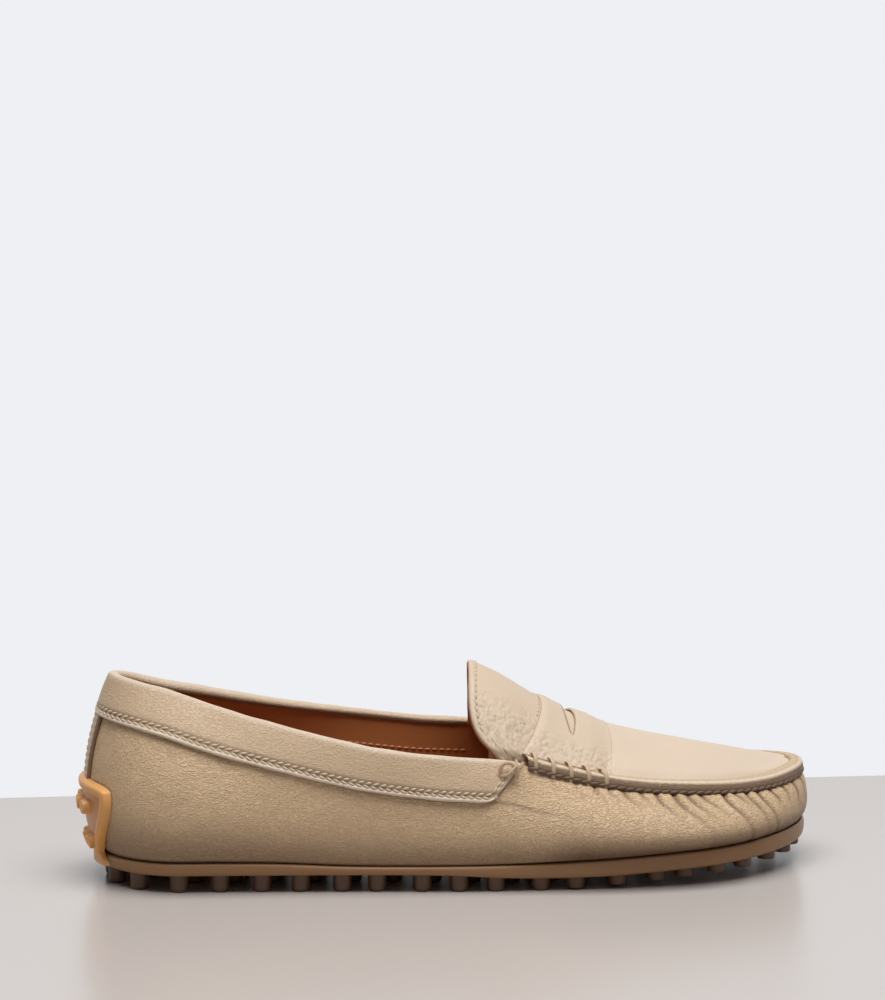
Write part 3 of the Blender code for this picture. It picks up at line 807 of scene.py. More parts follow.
def evenly(points, pitch):
    """Indices and shares of even steps of about a pitch along points, as (index, share) pairs."""
    lengths = [(b - a).length for a, b in zip(points, points[1:])]
    total = sum(lengths)
    count = max(1, round(total / pitch))
    pitch = total / count
    places, travelled, following = [], 0.0, pitch / 2
    for k, length in enumerate(lengths):
        while len(places) < count and travelled + length >= following:
            places.append((k, (following - travelled) / length))
            following += pitch
        travelled += length
    return places


def sew(bm, count, point, normal, span, size, turn=0.0):
    """A row of short round stitches on a surface, where point and normal lead between the values of span.

    size is the pitch, length and radius of a stitch, and turn slants it, in degrees.
    """
    values = [span[0] + (span[1] - span[0]) * k / count for k in range(count + 1)]
    points, normals = [point(v) for v in values], [normal(v) for v in values]
    pitch, length, radius = size
    for k, share in evenly(points, pitch):
        centre = points[k].lerp(points[k + 1], share)
        upright = normals[k].lerp(normals[k + 1], share).normalized()
        along = (points[k + 1] - points[k]).normalized()
        along = Quaternion(upright, math.radians(turn)) @ along
        aside = upright.cross(along).normalized()
        axes = Matrix((along, aside, along.cross(aside))).transposed().to_4x4()
        matrix = Matrix.Translation(centre) @ axes @ Matrix.Diagonal((length / 2, radius, radius, 1))
        bmesh.ops.create_uvsphere(bm, u_segments=8, v_segments=5, radius=1, matrix=matrix)


def add_node(tree, kind, inputs=(), **settings):
    """Adds a shader node with settings, and values or links for its inputs by name or number."""
    made = tree.nodes.new(kind)
    for name, value in settings.items():
        setattr(made, name, value)
    for name, value in dict(inputs).items():
        if isinstance(value, bpy.types.NodeSocket):
            tree.links.new(value, made.inputs[name])
        else:
            made.inputs[name].default_value = value
    return made


def math_node(tree, operation, first, second=0.0):
    return add_node(tree, "ShaderNodeMath", {0: first, 1: second}, operation=operation).outputs[0]


def mix_colors(tree, factor, first, second):
    mix = tree.nodes.new("ShaderNodeMix")
    mix.data_type = "RGBA"
    for name, value in (("Factor", factor), ("A", first), ("B", second)):
        kind = "VALUE" if name == "Factor" else "RGBA"
        socket = next(s for s in mix.inputs if s.name == name and s.type == kind and s.enabled)
        if isinstance(value, bpy.types.NodeSocket):
            tree.links.new(value, socket)
        else:
            socket.default_value = value if kind == "VALUE" else (*value, 1.0)
    return next(s for s in mix.outputs if s.type == "RGBA" and s.enabled)


def noise_node(tree, place, scale, detail=2.0, roughness=0.5):
    inputs = {"Vector": place, "Scale": scale, "Detail": detail, "Roughness": roughness}
    return add_node(tree, "ShaderNodeTexNoise", inputs)


def vector_node(tree, operation, first, second):
    return add_node(tree, "ShaderNodeVectorMath", {0: first, 1: second}, operation=operation).outputs[0]


def bump(tree, shader, strength, distance, height):
    inputs = {"Strength": strength, "Distance": distance, "Height": height}
    made = add_node(tree, "ShaderNodeBump", inputs)
    tree.links.new(made.outputs["Normal"], shader.inputs["Normal"])


def scaled(color, share):
    return tuple(min(1.0, c * share) for c in color)


def grain_group():
    """Leather grain: meandering wrinkles over finer ones, with a soft mottle for the colour."""
    found = bpy.data.node_groups.get("leather_grain")
    if found:
        return found
    tree = bpy.data.node_groups.new("leather_grain", "ShaderNodeTree")
    tree.interface.new_socket("Vector", in_out="INPUT", socket_type="NodeSocketVector")
    for name in ("Cells", "Valley"):
        tree.interface.new_socket(name, in_out="INPUT", socket_type="NodeSocketFloat")
    for name in ("Height", "Depth", "Mottle"):
        tree.interface.new_socket(name, in_out="OUTPUT", socket_type="NodeSocketFloat")
    given = tree.nodes.new("NodeGroupInput").outputs
    wander_scale, wander_reach = 260.0, 0.0016
    wander = noise_node(tree, given["Vector"], wander_scale, roughness=0.6)
    centred = vector_node(tree, "SUBTRACT", wander.outputs["Color"], (0.5, 0.5, 0.5))
    pushed = vector_node(tree, "MULTIPLY", centred, (wander_reach, wander_reach, wander_reach))
    bent = vector_node(tree, "ADD", given["Vector"], pushed)
    folds = noise_node(tree, bent, given["Cells"], roughness=0.55)
    crossing = math_node(tree, "ABSOLUTE", math_node(tree, "SUBTRACT", folds.outputs["Fac"], 0.5))
    plump = add_node(
        tree,
        "ShaderNodeMapRange",
        {"Value": crossing, "From Min": 0.0, "From Max": given["Valley"]},
        interpolation_type="SMOOTHSTEP",
    ).outputs["Result"]
    fine_times, fine_share, plump_share = 1.9, 0.8, 0.35
    fine = noise_node(tree, given["Vector"], math_node(tree, "MULTIPLY", given["Cells"], fine_times))
    mottle = noise_node(tree, given["Vector"], 55.0, 3.0)
    ripple = math_node(tree, "MULTIPLY", fine.outputs["Fac"], fine_share)
    waves = math_node(tree, "ADD", folds.outputs["Fac"], ripple)
    height = math_node(tree, "ADD", math_node(tree, "MULTIPLY", plump, plump_share), waves)
    results = tree.nodes.new("NodeGroupOutput").inputs
    tree.links.new(height, results["Height"])
    tree.links.new(math_node(tree, "SUBTRACT", 1.0, plump), results["Depth"])
    tree.links.new(mottle.outputs["Fac"], results["Mottle"])
    return tree


def new_material(name):
    found = bpy.data.materials.get(name)
    if found:
        bpy.data.materials.remove(found)
    made = bpy.data.materials.new(name)
    made.use_nodes = True
    return made, made.node_tree, made.node_tree.nodes["Principled BSDF"]


def mottled_material(name, first, second, scale, detail):
    """A material whose colour drifts between two, with its tree, shader, place and drifting colour."""
    made, tree, shader = new_material(name)
    place = add_node(tree, "ShaderNodeTexCoord").outputs["Object"]
    drift = mix_colors(tree, noise_node(tree, place, scale, detail).outputs["Fac"], first, second)
    tree.links.new(drift, shader.inputs["Base Color"])
    return made, tree, shader, place, drift


@lru_cache(maxsize=None)
def leather(name, color, cell, depth, valley, stretch, stain):
    """Grained leather. stretch is how much longer the wrinkles are along the shoe, stain how dark."""
    look = bpy.context.scene.moccasin_leather
    deep, highlight_color = tuple(look.deep_color), tuple(look.edge_highlight_color)
    made, tree, shader = new_material(name)
    place = add_node(tree, "ShaderNodeTexCoord").outputs["Object"]
    drawn = add_node(tree, "ShaderNodeMapping", {"Vector": place, "Scale": (1 / stretch, 1.0, 1.0)})
    inputs = {"Vector": drawn.outputs[0], "Cells": 1 / cell, "Valley": valley}
    grain = add_node(tree, "ShaderNodeGroup", inputs, node_tree=grain_group())
    tone = add_node(tree, "ShaderNodeAttribute", attribute_name="tone").outputs["Fac"]
    mottled = mix_colors(tree, grain.outputs["Mottle"], color, scaled(color, 1.08))
    stained = math_node(tree, "MULTIPLY", grain.outputs["Depth"], stain)
    lined = mix_colors(tree, stained, mottled, deep)
    # A negative tone paints shade with the crease colour, and a positive tone paints a highlight with the
    # pale edge colour.
    sunk = math_node(tree, "MAXIMUM", math_node(tree, "MULTIPLY", tone, -1.0), 0.0)
    painted_shade = mix_colors(tree, math_node(tree, "MULTIPLY", sunk, 0.9), lined, deep)
    painted_highlight = mix_colors(tree, math_node(tree, "MAXIMUM", tone, 0.0), painted_shade, highlight_color)
    tree.links.new(painted_highlight, shader.inputs["Base Color"])
    bump(tree, shader, 1.0, depth, grain.outputs["Height"])
    rough = math_node(tree, "ADD", look.roughness, math_node(tree, "MULTIPLY", grain.outputs["Depth"], 0.18))
    tree.links.new(rough, shader.inputs["Roughness"])
    return made


@lru_cache(maxsize=None)
def lining_leather():
    """Smooth tan leather."""
    color = tuple(bpy.context.scene.moccasin_lining.color)
    shadow, cloud_scale, tooth_scale, tooth_depth, roughness = 0.82, 40.0, 1400.0, 0.00008, 0.55
    dark = scaled(color, shadow)
    made, tree, shader, place, _ = mottled_material("lining_leather", dark, color, cloud_scale, 4.0)
    bump(tree, shader, 0.5, tooth_depth, noise_node(tree, place, tooth_scale).outputs["Fac"])
    shader.inputs["Roughness"].default_value = roughness
    return made


@lru_cache(maxsize=None)
def thread(name, *color):
    """Twisted thread."""
    shadow, ply_scale, ply_depth, roughness = 0.72, 2600.0, 0.00010, 0.62
    made, tree, shader, place, _ = mottled_material(name, scaled(color, shadow), color, ply_scale, 2.0)
    bump(tree, shader, 0.6, ply_depth, noise_node(tree, place, ply_scale).outputs["Fac"])
    shader.inputs["Roughness"].default_value = roughness
    return made


@lru_cache(maxsize=None)
def gum_rubber(name, color, toned):
    """Gum rubber. The tone's size mixes in the toned colour."""
    cloud_scale, tooth_scale, tooth_depth, glow_through = 60.0, 1800.0, 0.00008, 0.12
    deep = tuple(c * s for c, s in zip(color, (0.88, 0.80, 0.72)))
    made, tree, shader, place, drift = mottled_material(name, deep, color, cloud_scale, 3.0)
    tone = add_node(tree, "ShaderNodeAttribute", attribute_name="tone").outputs["Fac"]
    mixed = mix_colors(tree, math_node(tree, "ABSOLUTE", tone), drift, toned)
    tree.links.new(mixed, shader.inputs["Base Color"])
    bump(tree, shader, 0.35, tooth_depth, noise_node(tree, place, tooth_scale).outputs["Fac"])
    shader.inputs["Roughness"].default_value = bpy.context.scene.moccasin_rubber.roughness
    shader.inputs["Subsurface Weight"].default_value = glow_through
    shader.inputs["Subsurface Radius"].default_value = (0.004, 0.002, 0.001)
    return made


def cut_leather(kind):
    """Leather of the quarters, of the smooth top or of the trim."""
    look = bpy.context.scene.moccasin_leather
    color, depth_share, stretch, stain = {
        "quarter": (look.color, 1.0, 1.9, 0.10),
        "smooth": (look.top_color, 0.14, 1.0, 0.01),
        "trim": (look.trim_color, 0.45, 1.6, 0.04),
    }[kind]
    depth, valley = look.grain_depth * depth_share, 0.08
    return leather(f"{kind}_leather", tuple(color), look.grain_cell, depth, valley, stretch, stain)


def crease_relief(creases, arc, drop, times):
    """Height of the creases, and their tone as painted shade in the troughs, at a length along the top edge
    and a distance down the wall.
    """
    end, wander, spread, dark_depth = 1.1, 0.0004, 1.15, 0.00032
    ridge_away, ridge_spread, ridge_share = 1.9, 1.6, 0.32
    height, shade = 0.0, 0.0
    for crease, start in creases:
        share = drop / crease.drop
        if share > end or abs(arc - start) > crease.lean + 5 * crease.width:
            continue
        bend = wander * math.sin(9 * share + 40 * crease.start)
        centre = start - crease.side * crease.lean * share * (0.55 + 0.45 * share) + bend
        slope = 1 / math.hypot(1, crease.lean / crease.drop)
        off = (arc - centre) * slope / (spread * crease.width)
        fade = smooth(end - share, 0.0, 0.9)
        trough = math.exp(-off * off)
        ridges = sum(math.exp(-((off - away) ** 2) / ridge_spread) for away in (ridge_away, -ridge_away))
        height += crease.depth * times * fade * (ridge_share * ridges - trough)
        # Painted shade in the crease's trough.
        shade -= fade * trough * min(1.0, crease.depth / dark_depth)
    return height, shade


def soft_relief(place, *waves):
    """Gentle unevenness at a place, from waves given as how fine and how high they are."""
    return sum(noise.noise(place * fine) * height for fine, height in waves)


def bell(value, width):
    """1 where a value is zero, falling to nothing within about twice the width on either side."""
    return math.exp(-((value / width) ** 2))


class MOCCASIN_OT_upper(bpy.types.Operator):
    """Vamp and quarters with the creases of the vamp and the puckers along the seam"""

    bl_idname = "moccasin.upper"
    bl_label = "Upper"

    def execute(self, context):
        look, trim = context.scene.moccasin_leather, context.scene.moccasin_trim
        bm = new_bmesh()
        crowding = 0.35
        pinch_depth, pinch_fall, pinch_shade_fall = 0.00045, 0.0016, 0.0007
        puff, puff_start, puff_full, puff_end = 0.00035, 0.0005, 0.0030, 0.0090

        def ring(i):
            return 2 * i + crowding / math.pi * math.sin(2 * math.pi * i)

        patch(bm, 720, 56, lambda i, j: wall(ring(i), j))
        creases = [(c, seam_arc(side_u(c.side, c.start))) for c in CREASES]
        seam_start = COLLAR_END - LENGTH / 2

        def relief(i, j, place):
            u = ring(i)
            drop = (wall(u, 1) - place).length
            arc = seam_arc(u)
            height, shade = crease_relief(creases, arc, drop, look.crease_depth)
            vamp = smooth(place.x, seam_start, seam_start + 0.02)
            pinch = 0.5 + 0.5 * math.cos(2 * math.pi * arc / trim.seam_pitch)
            height -= vamp * pinch_depth * pinch * math.exp(-drop / pinch_fall)
            # Painted shade in the pinched band just under the seam.
            shade -= vamp * 0.5 * math.exp(-drop / pinch_shade_fall)
            bulge = smooth(drop, puff_start, puff_full) * (1 - smooth(drop, puff_full, puff_end))
            height += vamp * puff * bulge
            height += soft_relief(place, (85, 0.00030), (210, 0.00010)) * smooth(j, 0.0, 0.15)
            # Painted shade: darker towards the sole, darkest right at the foot.
            shade -= 0.55 * (1 - smooth(j, 0.0, 0.035)) + 0.66 * (1 - smooth(j, 0.06, 0.48))
            # Painted shade: the vamp darker still low down.
            shade -= 0.36 * vamp * (1 - smooth(j, 0.20, 0.90))
            # Painted shadow under the collar band's lower edge.
            under_band = (1 - vamp) * bell(drop - BAND_HEIGHT - 0.0006, 0.0007)
            shade -= 0.6 * under_band
            return height, shade

        emboss(bm, relief)
        thickness = UPPER_WALL - context.scene.moccasin_lining.thickness - GAP / 3
        finish_piece("upper_leather", bm, cut_leather("quarter"), "leather", "upper", thickness=thickness)
        return {"FINISHED"}


class MOCCASIN_OT_lining(bpy.types.Operator):
    """Tan lining inside the wall"""

    bl_idname = "moccasin.lining"
    bl_label = "Lining"

    def execute(self, context):
        look = context.scene.moccasin_lining
        bm = new_bmesh()
        depth = UPPER_WALL - look.thickness
        patch(bm, 300, 30, lambda i, j: wall_out(2 * i, 0.995 * j, -depth))
        finish_piece("lining", bm, lining_leather(), "lining", thickness=look.thickness)
        return {"FINISHED"}


def collar_u(share, row):
    """Ring position round the collar: share -1 to +1 from inner end to outer end, row 0 low to 1 high."""
    low_end, high_end = outer_u(COLLAR_END - BAND_SLANT), outer_u(COLLAR_END)
    return share * (low_end + (high_end - low_end) * row)


def collar_point(share, drop, out):
    """A point of the collar band: drop below the top edge and out from the wall, in metres."""
    row = max(0.0, min(1.0, 1 - drop / BAND_HEIGHT))
    u = collar_u(share, row)
    corner = 1 - BAND_CORNER_SHARE * abs(share) ** BAND_CORNER_POWER * (1 - row)
    top = wall(u, 1)
    if drop <= 0:
        return top + Vector((0, 0, -drop)) + out * wall_normal(u, 1)
    rise = rise_at_height(u, top.z - drop * corner)
    return wall_out(u, rise, out)


def band_normal(share, drop):
    row = max(0.0, min(1.0, 1 - drop / BAND_HEIGHT))
    u = collar_u(share, row)
    return wall_normal(u, rise_at_height(u, wall(u, 1).z - drop))


class MOCCASIN_OT_collar_band(bpy.types.Operator):
    """Folded band round the collar, with its soft rolled rim"""

    bl_idname = "moccasin.collar_band"
    bl_label = "Collar band"

    def execute(self, context):
        trim = context.scene.moccasin_trim
        bm = new_bmesh()
        half_length = seam_arc(outer_u(COLLAR_END))

        def crowded(i):
            """Share round the collar, with the columns closer at the band's ends."""
            share = 2 * i - 1
            return 0.25 * share + 0.75 * math.sin(math.pi / 2 * share)

        def place(i, j):
            share = crowded(i)
            drop = BAND_HEIGHT * read(BAND_FOLD, "drop", j)
            out = trim.band_out * read(BAND_FOLD, "out", j)
            if out > 0:
                out *= max(0.1, end_round((1 - abs(share)) * half_length, 0.0009))
            return collar_point(share, drop, out)

        patch(bm, 460, 44, lambda i, j: place(i, 1 - j))

        def relief(i, j, place):
            inset = (1 - abs(crowded(i))) * half_length
            # Painted highlight on the rounded shoulder of each band end and painted shade at its foot.
            end_shading = 0.8 * bell(inset - 0.0009, 0.0005) - 0.8 * bell(inset, 0.0004)
            shade = read(BAND_FOLD, "tone", 1 - j) + (end_shading if j < 0.75 else 0.0)
            return soft_relief(place, (120, 0.00022)), shade

        emboss(bm, relief)
        skin = cut_leather("trim")
        finish_piece("collar_band_leather", bm, skin, "leather", "collar_band", thickness=TRIM_THICKNESS)
        return {"FINISHED"}


class MOCCASIN_OT_heel_strip(bpy.types.Operator):
    """Narrow strip over the back seam"""

    bl_idname = "moccasin.heel_strip"
    bl_label = "Heel strip"

    def execute(self, context):
        bm = new_bmesh()
        bottom = TAB_HEIGHT - 0.004
        top = wall(0, 1).z - BAND_HEIGHT + 0.002

        def place(i, j):
            rise = rise_at_height(0, bottom + (top - bottom) * j)
            side = abs(2 * i - 1)
            out = GAP + HEEL_STRIP_THICKNESS * end_round(1 - side, 0.10)
            return wall_out(u_at_arc(HEEL_STRIP_WIDTH * (i - 0.5), rise), rise, out)

        patch(bm, 24, 40, place)

        def relief(i, j, place):
            return soft_relief(place, (150, 0.0001)), -0.9 * smooth(abs(2 * i - 1), 0.72, 0.80)

        emboss(bm, relief)
        thickness = HEEL_STRIP_THICKNESS * 0.5
        skin = cut_leather("trim")
        finish_piece("heel_strip_leather", bm, skin, "leather", "heel_strip", thickness=thickness)
        return {"FINISHED"}


def flap_out(distance, thickness, radius):
    """Height of a flap's top at a distance from its rounded edge, below its full thickness."""
    return -thickness * (1 - end_round(distance, radius))


def tongue_x(i, across):
    """X of the tongue: i from under the strap to the free edge, across from side to side."""
    start = APRON_START - LENGTH / 2 - GAP
    side = TONGUE_SIDE - LENGTH / 2
    free = TONGUE_CROWN - LENGTH / 2
    free += (side - free) * abs(across) ** TONGUE_SWEEP_POWER
    free += TONGUE_LEAN * across * (1 - abs(across) ** TONGUE_LEAN_POWER)
    return start + (free - start) * i


def skirted(j, skirt_share=0.07):
    """Across from side to side, and how far a point lies down the skirt that hangs inside the rim."""
    wide = (2 * j - 1) * (1 + skirt_share)
    across = max(-1.0, min(1.0, wide))
    return across, TONGUE_SKIRT * (abs(wide) - abs(across)) / skirt_share


def crinkle(place, pitch, stretch=1.0):
    """Wrinkles about a pitch apart: how sunk a place lies, from 0 on the plump to 1 in a valley."""
    point = Vector((place.x / stretch, place.y, place.z)) / pitch
    wander = Vector((noise.noise(point * 0.6), noise.noise(point * 0.6 + Vector((9, 4, 7))), 0))
    value = noise.noise(point + wander * 0.7)
    fine = noise.noise(point * 2.1 + Vector((3, 1, 5)))
    return max(0.0, 1 - 4.0 * abs(value)) * 0.7 + max(0.0, 1 - 5.0 * abs(fine)) * 0.3


class MOCCASIN_OT_tongue(bpy.types.Operator):
    """Tongue with its folded free edge and tan underside"""

    bl_idname = "moccasin.tongue"
    bl_label = "Tongue"

    def execute(self, context):
        look = context.scene.moccasin_lining
        edge_round, fold_rise, fold_inset, fold_spread = 0.0009, 0.00030, 0.0016, 0.0008
        wrinkle_pitch, wrinkle_depth, lining_drop = 0.0019, 0.00046, 0.0007
        bm = new_bmesh()

        def place(i, j):
            across, down = skirted(j)
            x = tongue_x(i, across)
            free = tongue_x(1, across)
            drop = flap_out(x - free, APRON_THICKNESS * 0.7, edge_round)
            fold = fold_rise * bell(x - free - fold_inset, fold_spread)
            return roof_out(x + 0.8 * down * i, across, drop + fold) - Vector((0, 0, down))

        patch(bm, 110, 150, lambda i, j: place(1 - i, j))

        def relief(i, j, place):
            across = abs(skirted(j)[0])
            low = smooth(across, 0.36, 0.76)
            sunk = crinkle(place, wrinkle_pitch) * low * smooth(i, 0.0, 0.06)
            # Painted shade in the wrinkles and a painted highlight along the folded free edge.
            return -wrinkle_depth * sunk, -0.60 * sunk**2 + 0.35 * (1 - smooth(i, 0.0, 0.03))

        emboss(bm, relief)
        thickness = APRON_THICKNESS - look.thickness
        finish_piece("tongue_leather", bm, cut_leather("smooth"), "leather", "tongue", thickness=thickness)

        under = new_bmesh()
        lift = look.thickness - APRON_THICKNESS

        def place_under(i, j):
            across, down = skirted(j)
            drawn = lift - lining_drop * smooth(abs(across), 0.30, 0.60)
            return roof_out(tongue_x(1 - 0.990 * i, across), across, drawn) - Vector((0, 0, down))

        patch(under, 60, 90, place_under)
        finish_piece("tongue_lining", under, lining_leather(), "lining", thickness=look.thickness)
        return {"FINISHED"}


class MOCCASIN_OT_apron(bpy.types.Operator):
    """Smooth plug over the toes, inside the moccasin seam"""

    bl_idname = "moccasin.apron"
    bl_label = "Apron"

    def execute(self, context):
        front = span_of(TOP, -SEAM_WIDTH)[1] - GAP
        start = APRON_START - LENGTH / 2
        puff_height = 0.0005
        bm = new_bmesh()

        def place(i, j):
            x = start + (front - start) * math.sin(math.pi / 2 * i)
            return roof(x, 2 * j - 1)

        patch(bm, 110, 120, place)

        def relief(i, j, place):
            side = 1 - abs(2 * j - 1)
            soft = soft_relief(place, (60, 0.00022), (150, 0.00006))
            puff = puff_height * smooth(side, 0.0, 0.12) * (1 - smooth(side, 0.12, 0.5))
            # The constant tone of 0.25 is a painted highlight that lightens the whole top face.
            return soft * smooth(side, 0.0, 0.1) + puff * smooth(i, 0.0, 0.1), 0.25

        emboss(bm, relief)
        skin = cut_leather("smooth")
        finish_piece("apron_leather", bm, skin, "leather", "apron", thickness=APRON_THICKNESS)
        return {"FINISHED"}


def strap_edges(across):
    """X of the strap's rear and front edges."""
    sweep = abs(across) ** STRAP_SWEEP_POWER
    rear = STRAP_REAR_CROWN + (STRAP_REAR_SIDE - STRAP_REAR_CROWN) * sweep
    front = STRAP_FRONT_CROWN + (STRAP_FRONT_SIDE - STRAP_FRONT_CROWN) * sweep
    return rear - LENGTH / 2, front - LENGTH / 2


def slot_edges(across):
    """X of the slot's rear and front edges, which meet beyond its ends."""
    share = min(1.0, abs(across) / SLOT_SHARE)
    centre = SLOT_CENTRE - LENGTH / 2 - 0.3 * SLOT_WIDTH * share * share
    half = SLOT_WIDTH / 2 * (1 - share**SLOT_TAPER_POWER)
    return centre - half, centre + half


class MOCCASIN_OT_saddle_strap(bpy.types.Operator):
    """Strap across the foot, with its lens-shaped slot"""

    bl_idname = "moccasin.saddle_strap"
    bl_label = "Saddle strap"

    def execute(self, context):
        bm = new_bmesh()
        rear_round, front_taper, slot_round, lift = 0.0030, 0.0085, 0.0009, 0.0001
        wrinkle_pitch, wrinkle_stretch, wrinkle_depth = 0.0022, 1.5, 0.00042

        def place(part, i, j):
            across = 2 * j - 1
            rear, front = strap_edges(across)
            slot_rear, slot_front = slot_edges(across)
            low, high = (rear, slot_rear) if part == 0 else (slot_front, front)
            x = low + (high - low) * i
            in_slot = smooth(slot_front - slot_rear, 0.0, 0.0004)
            slot_distance = (slot_rear - x) if part == 0 else (x - slot_front)
            height = STRAP_THICKNESS * end_round(x - rear, rear_round)
            height *= 0.15 + 0.85 * smooth(front - x, 0.0, front_taper)
            height -= in_slot * STRAP_THICKNESS * 0.7 * (1 - end_round(slot_distance, slot_round))
            return roof_out(x, across, lift + max(0.0, height))

        for part in (0, 1):
            patch(bm, 44, 150, lambda i, j, part=part: place(part, i, j))

        def relief(i, j, place):
            across = 2 * j - 1
            slot_rear, slot_front = slot_edges(across)
            sunk = crinkle(place, wrinkle_pitch, wrinkle_stretch) * smooth(abs(across), 0.60, 0.85)
            in_slot = smooth(slot_front - slot_rear, 0.0, 0.0004)
            edge_shade = in_slot * bell(place.x - slot_rear, 0.0005)
            # Painted shade in the wrinkles and along the slot's rear edge, and a faint painted highlight over
            # the rest.
            return -wrinkle_depth * sunk, 0.05 - 0.45 * sunk**2 - 0.9 * edge_shade

        emboss(bm, relief)
        skin = cut_leather("smooth")
        finish_piece("saddle_strap_leather", bm, skin, "leather", "saddle_strap", thickness=STRAP_SHELL)
        return {"FINISHED"}


def seam_reach(u):
    """How far the seam reaches out over the wall, as a share: less where the wall stands up at the toe."""
    return 1 - 0.55 * smooth(along_of(u), 0.95, 1.0)


def seam_out(u):
    """Direction out over the wall at the seam."""
    return (seam_place(u, 0.002, 0.0) - seam_place(u, 0.0, 0.0)).normalized()


def seam_run(u):
    """Direction along the seam."""
    return (seam_place(u + 0.002, 0, 0) - seam_place(u - 0.002, 0, 0)).normalized()


def seam_start():
    """Ring position where the seam begins, by the end of the collar band."""
    return outer_u(COLLAR_END + SEAM_WIDTH / 2)


class MOCCASIN_OT_moc_seam(bpy.types.Operator):
    """Raised seam: a folded face in painted shade and a lip with a painted highlight, pinched at every stitch
    """

    bl_idname = "moccasin.moc_seam"
    bl_label = "Moccasin seam"

    def execute(self, context):
        trim = context.scene.moccasin_trim
        bm = new_bmesh()
        start = seam_start()
        face_pull, lip_pull = 0.00030, 0.00022

        def place(i, j):
            u = start + 2 * (1 - start) * i
            pull = 0.5 + 0.5 * math.cos(2 * math.pi * seam_arc(u) / trim.seam_pitch)
            out = SEAM_WIDTH * read(SEAM_FOLD, "out", j)
            out *= seam_reach(u) if out > 0 else 1.0
            up = SEAM_RISE * read(SEAM_FOLD, "up", j)
            face, lip = bell(j - 0.12, 0.10), bell(j - 0.72, 0.10)
            return seam_place(u, out - face_pull * pull * face, up - lip_pull * pull * lip)

        patch(bm, 900, 26, lambda i, j: place(i, 1 - j))

        def relief(i, j, place):
            # The tone from SEAM_FOLD paints shade on the face and a highlight on the lip.
            return soft_relief(place, (300, 0.00010)), read(SEAM_FOLD, "tone", 1 - j)

        emboss(bm, relief)
        skin = cut_leather("trim")
        finish_piece("moc_seam_leather", bm, skin, "leather", "moc_seam", thickness=TRIM_THICKNESS)
        return {"FINISHED"}


class MOCCASIN_OT_seam_stitches(bpy.types.Operator):
    """Rope-like stitches under the seam's face and the dark stitches inside its lip"""

    bl_idname = "moccasin.seam_stitches"
    bl_label = "Seam stitches"

    def execute(self, context):
        trim = context.scene.moccasin_trim
        start, strap_end = seam_start(), outer_u(STRAP_FRONT_SIDE)
        rope_size = (trim.seam_pitch, trim.seam_pitch * 1.06, 0.00062)
        lip_size = (trim.seam_pitch, trim.seam_pitch * 0.62, 0.00042)
        bm = new_bmesh()

        def rope(u):
            return seam_place(u, 0.0016 * seam_reach(u), THREAD_LIFT)

        def lip(u):
            return seam_place(u, -SEAM_WIDTH * 0.94, SEAM_RISE * 1.06)

        sew(bm, 700, rope, seam_out, (start, 2 - start), rope_size, 13)
        sew(bm, 700, lip, lambda u: Vector((0, 0, 1)), (strap_end, 2 - strap_end), lip_size)
        material = thread("seam_thread", *trim.seam_thread_color)
        finish_piece("seam_stitches", bm, material, "leather")
        return {"FINISHED"}


class MOCCASIN_OT_lace(bpy.types.Operator):
    """Lace whipped over the seam beside the strap, and its knot at each end of the collar"""

    bl_idname = "moccasin.lace"
    bl_label = "Lace"

    def execute(self, context):
        trim = context.scene.moccasin_trim
        bm = new_bmesh()
        look = context.scene.moccasin_leather
        first, slant = COLLAR_END + 0.0045, -0.0005
        half_width = trim.lace_width / 2
        half_height = half_width * 0.42
        for side in (-1, 1):
            for turn in range(trim.lace_turns):
                distance = first + turn * trim.lace_pitch
                run = seam_run(side_u(side, distance))
                path = []
                for k, (out, up) in enumerate(LACE_TURN):
                    u = side_u(side, distance + slant * k / len(LACE_TURN))
                    path.append(seam_place(u, SEAM_WIDTH * out, SEAM_RISE * up))
                frames = [(run, heading(path, k).cross(run).normalized()) for k in range(len(path))]
                tube(bm, path, frames, 10, half_width, half_height)
            self.knot(bm, side, half_width * 0.75)
        material = leather("lace_leather", tuple(look.trim_color), 0.0008, 0.00004, 0.07, 1.0, 0.05)
        finish_piece("lace", bm, material, "leather")
        return {"FINISHED"}

    def knot(self, bm, side, radius):
        """An arch of lace over the end of the rim, a strand across it, a wrap and a short free end."""
        before_end, middle_out, middle_up = 0.0056, 0.0046, -0.0024
        u = side_u(side, COLLAR_END - before_end)
        run, outward, up = seam_run(u), seam_out(u), Vector((0, 0, 1))
        run = run if run.x > 0 else -run
        middle = seam_place(u, middle_out, middle_up)
        for points, thickness in ((KNOT_ARCH, 1.25), (KNOT_ACROSS, 1.0), (KNOT_WRAP, 0.8), (KNOT_END, 1.1)):
            path = [middle + run * a + up * b + outward * c for a, b, c in points]
            for _ in range(3):
                finer = [path[0]]
                for first, second in zip(path, path[1:]):
                    finer += [first.lerp(second, 0.25), first.lerp(second, 0.75)]
                path = finer + [path[-1]]
            frames = []
            for k in range(len(path)):
                ahead = heading(path, k)
                aside = ahead.cross(outward).normalized()
                frames.append((aside, aside.cross(ahead)))
            tube(bm, path, frames, 8, radius * thickness, radius * thickness)


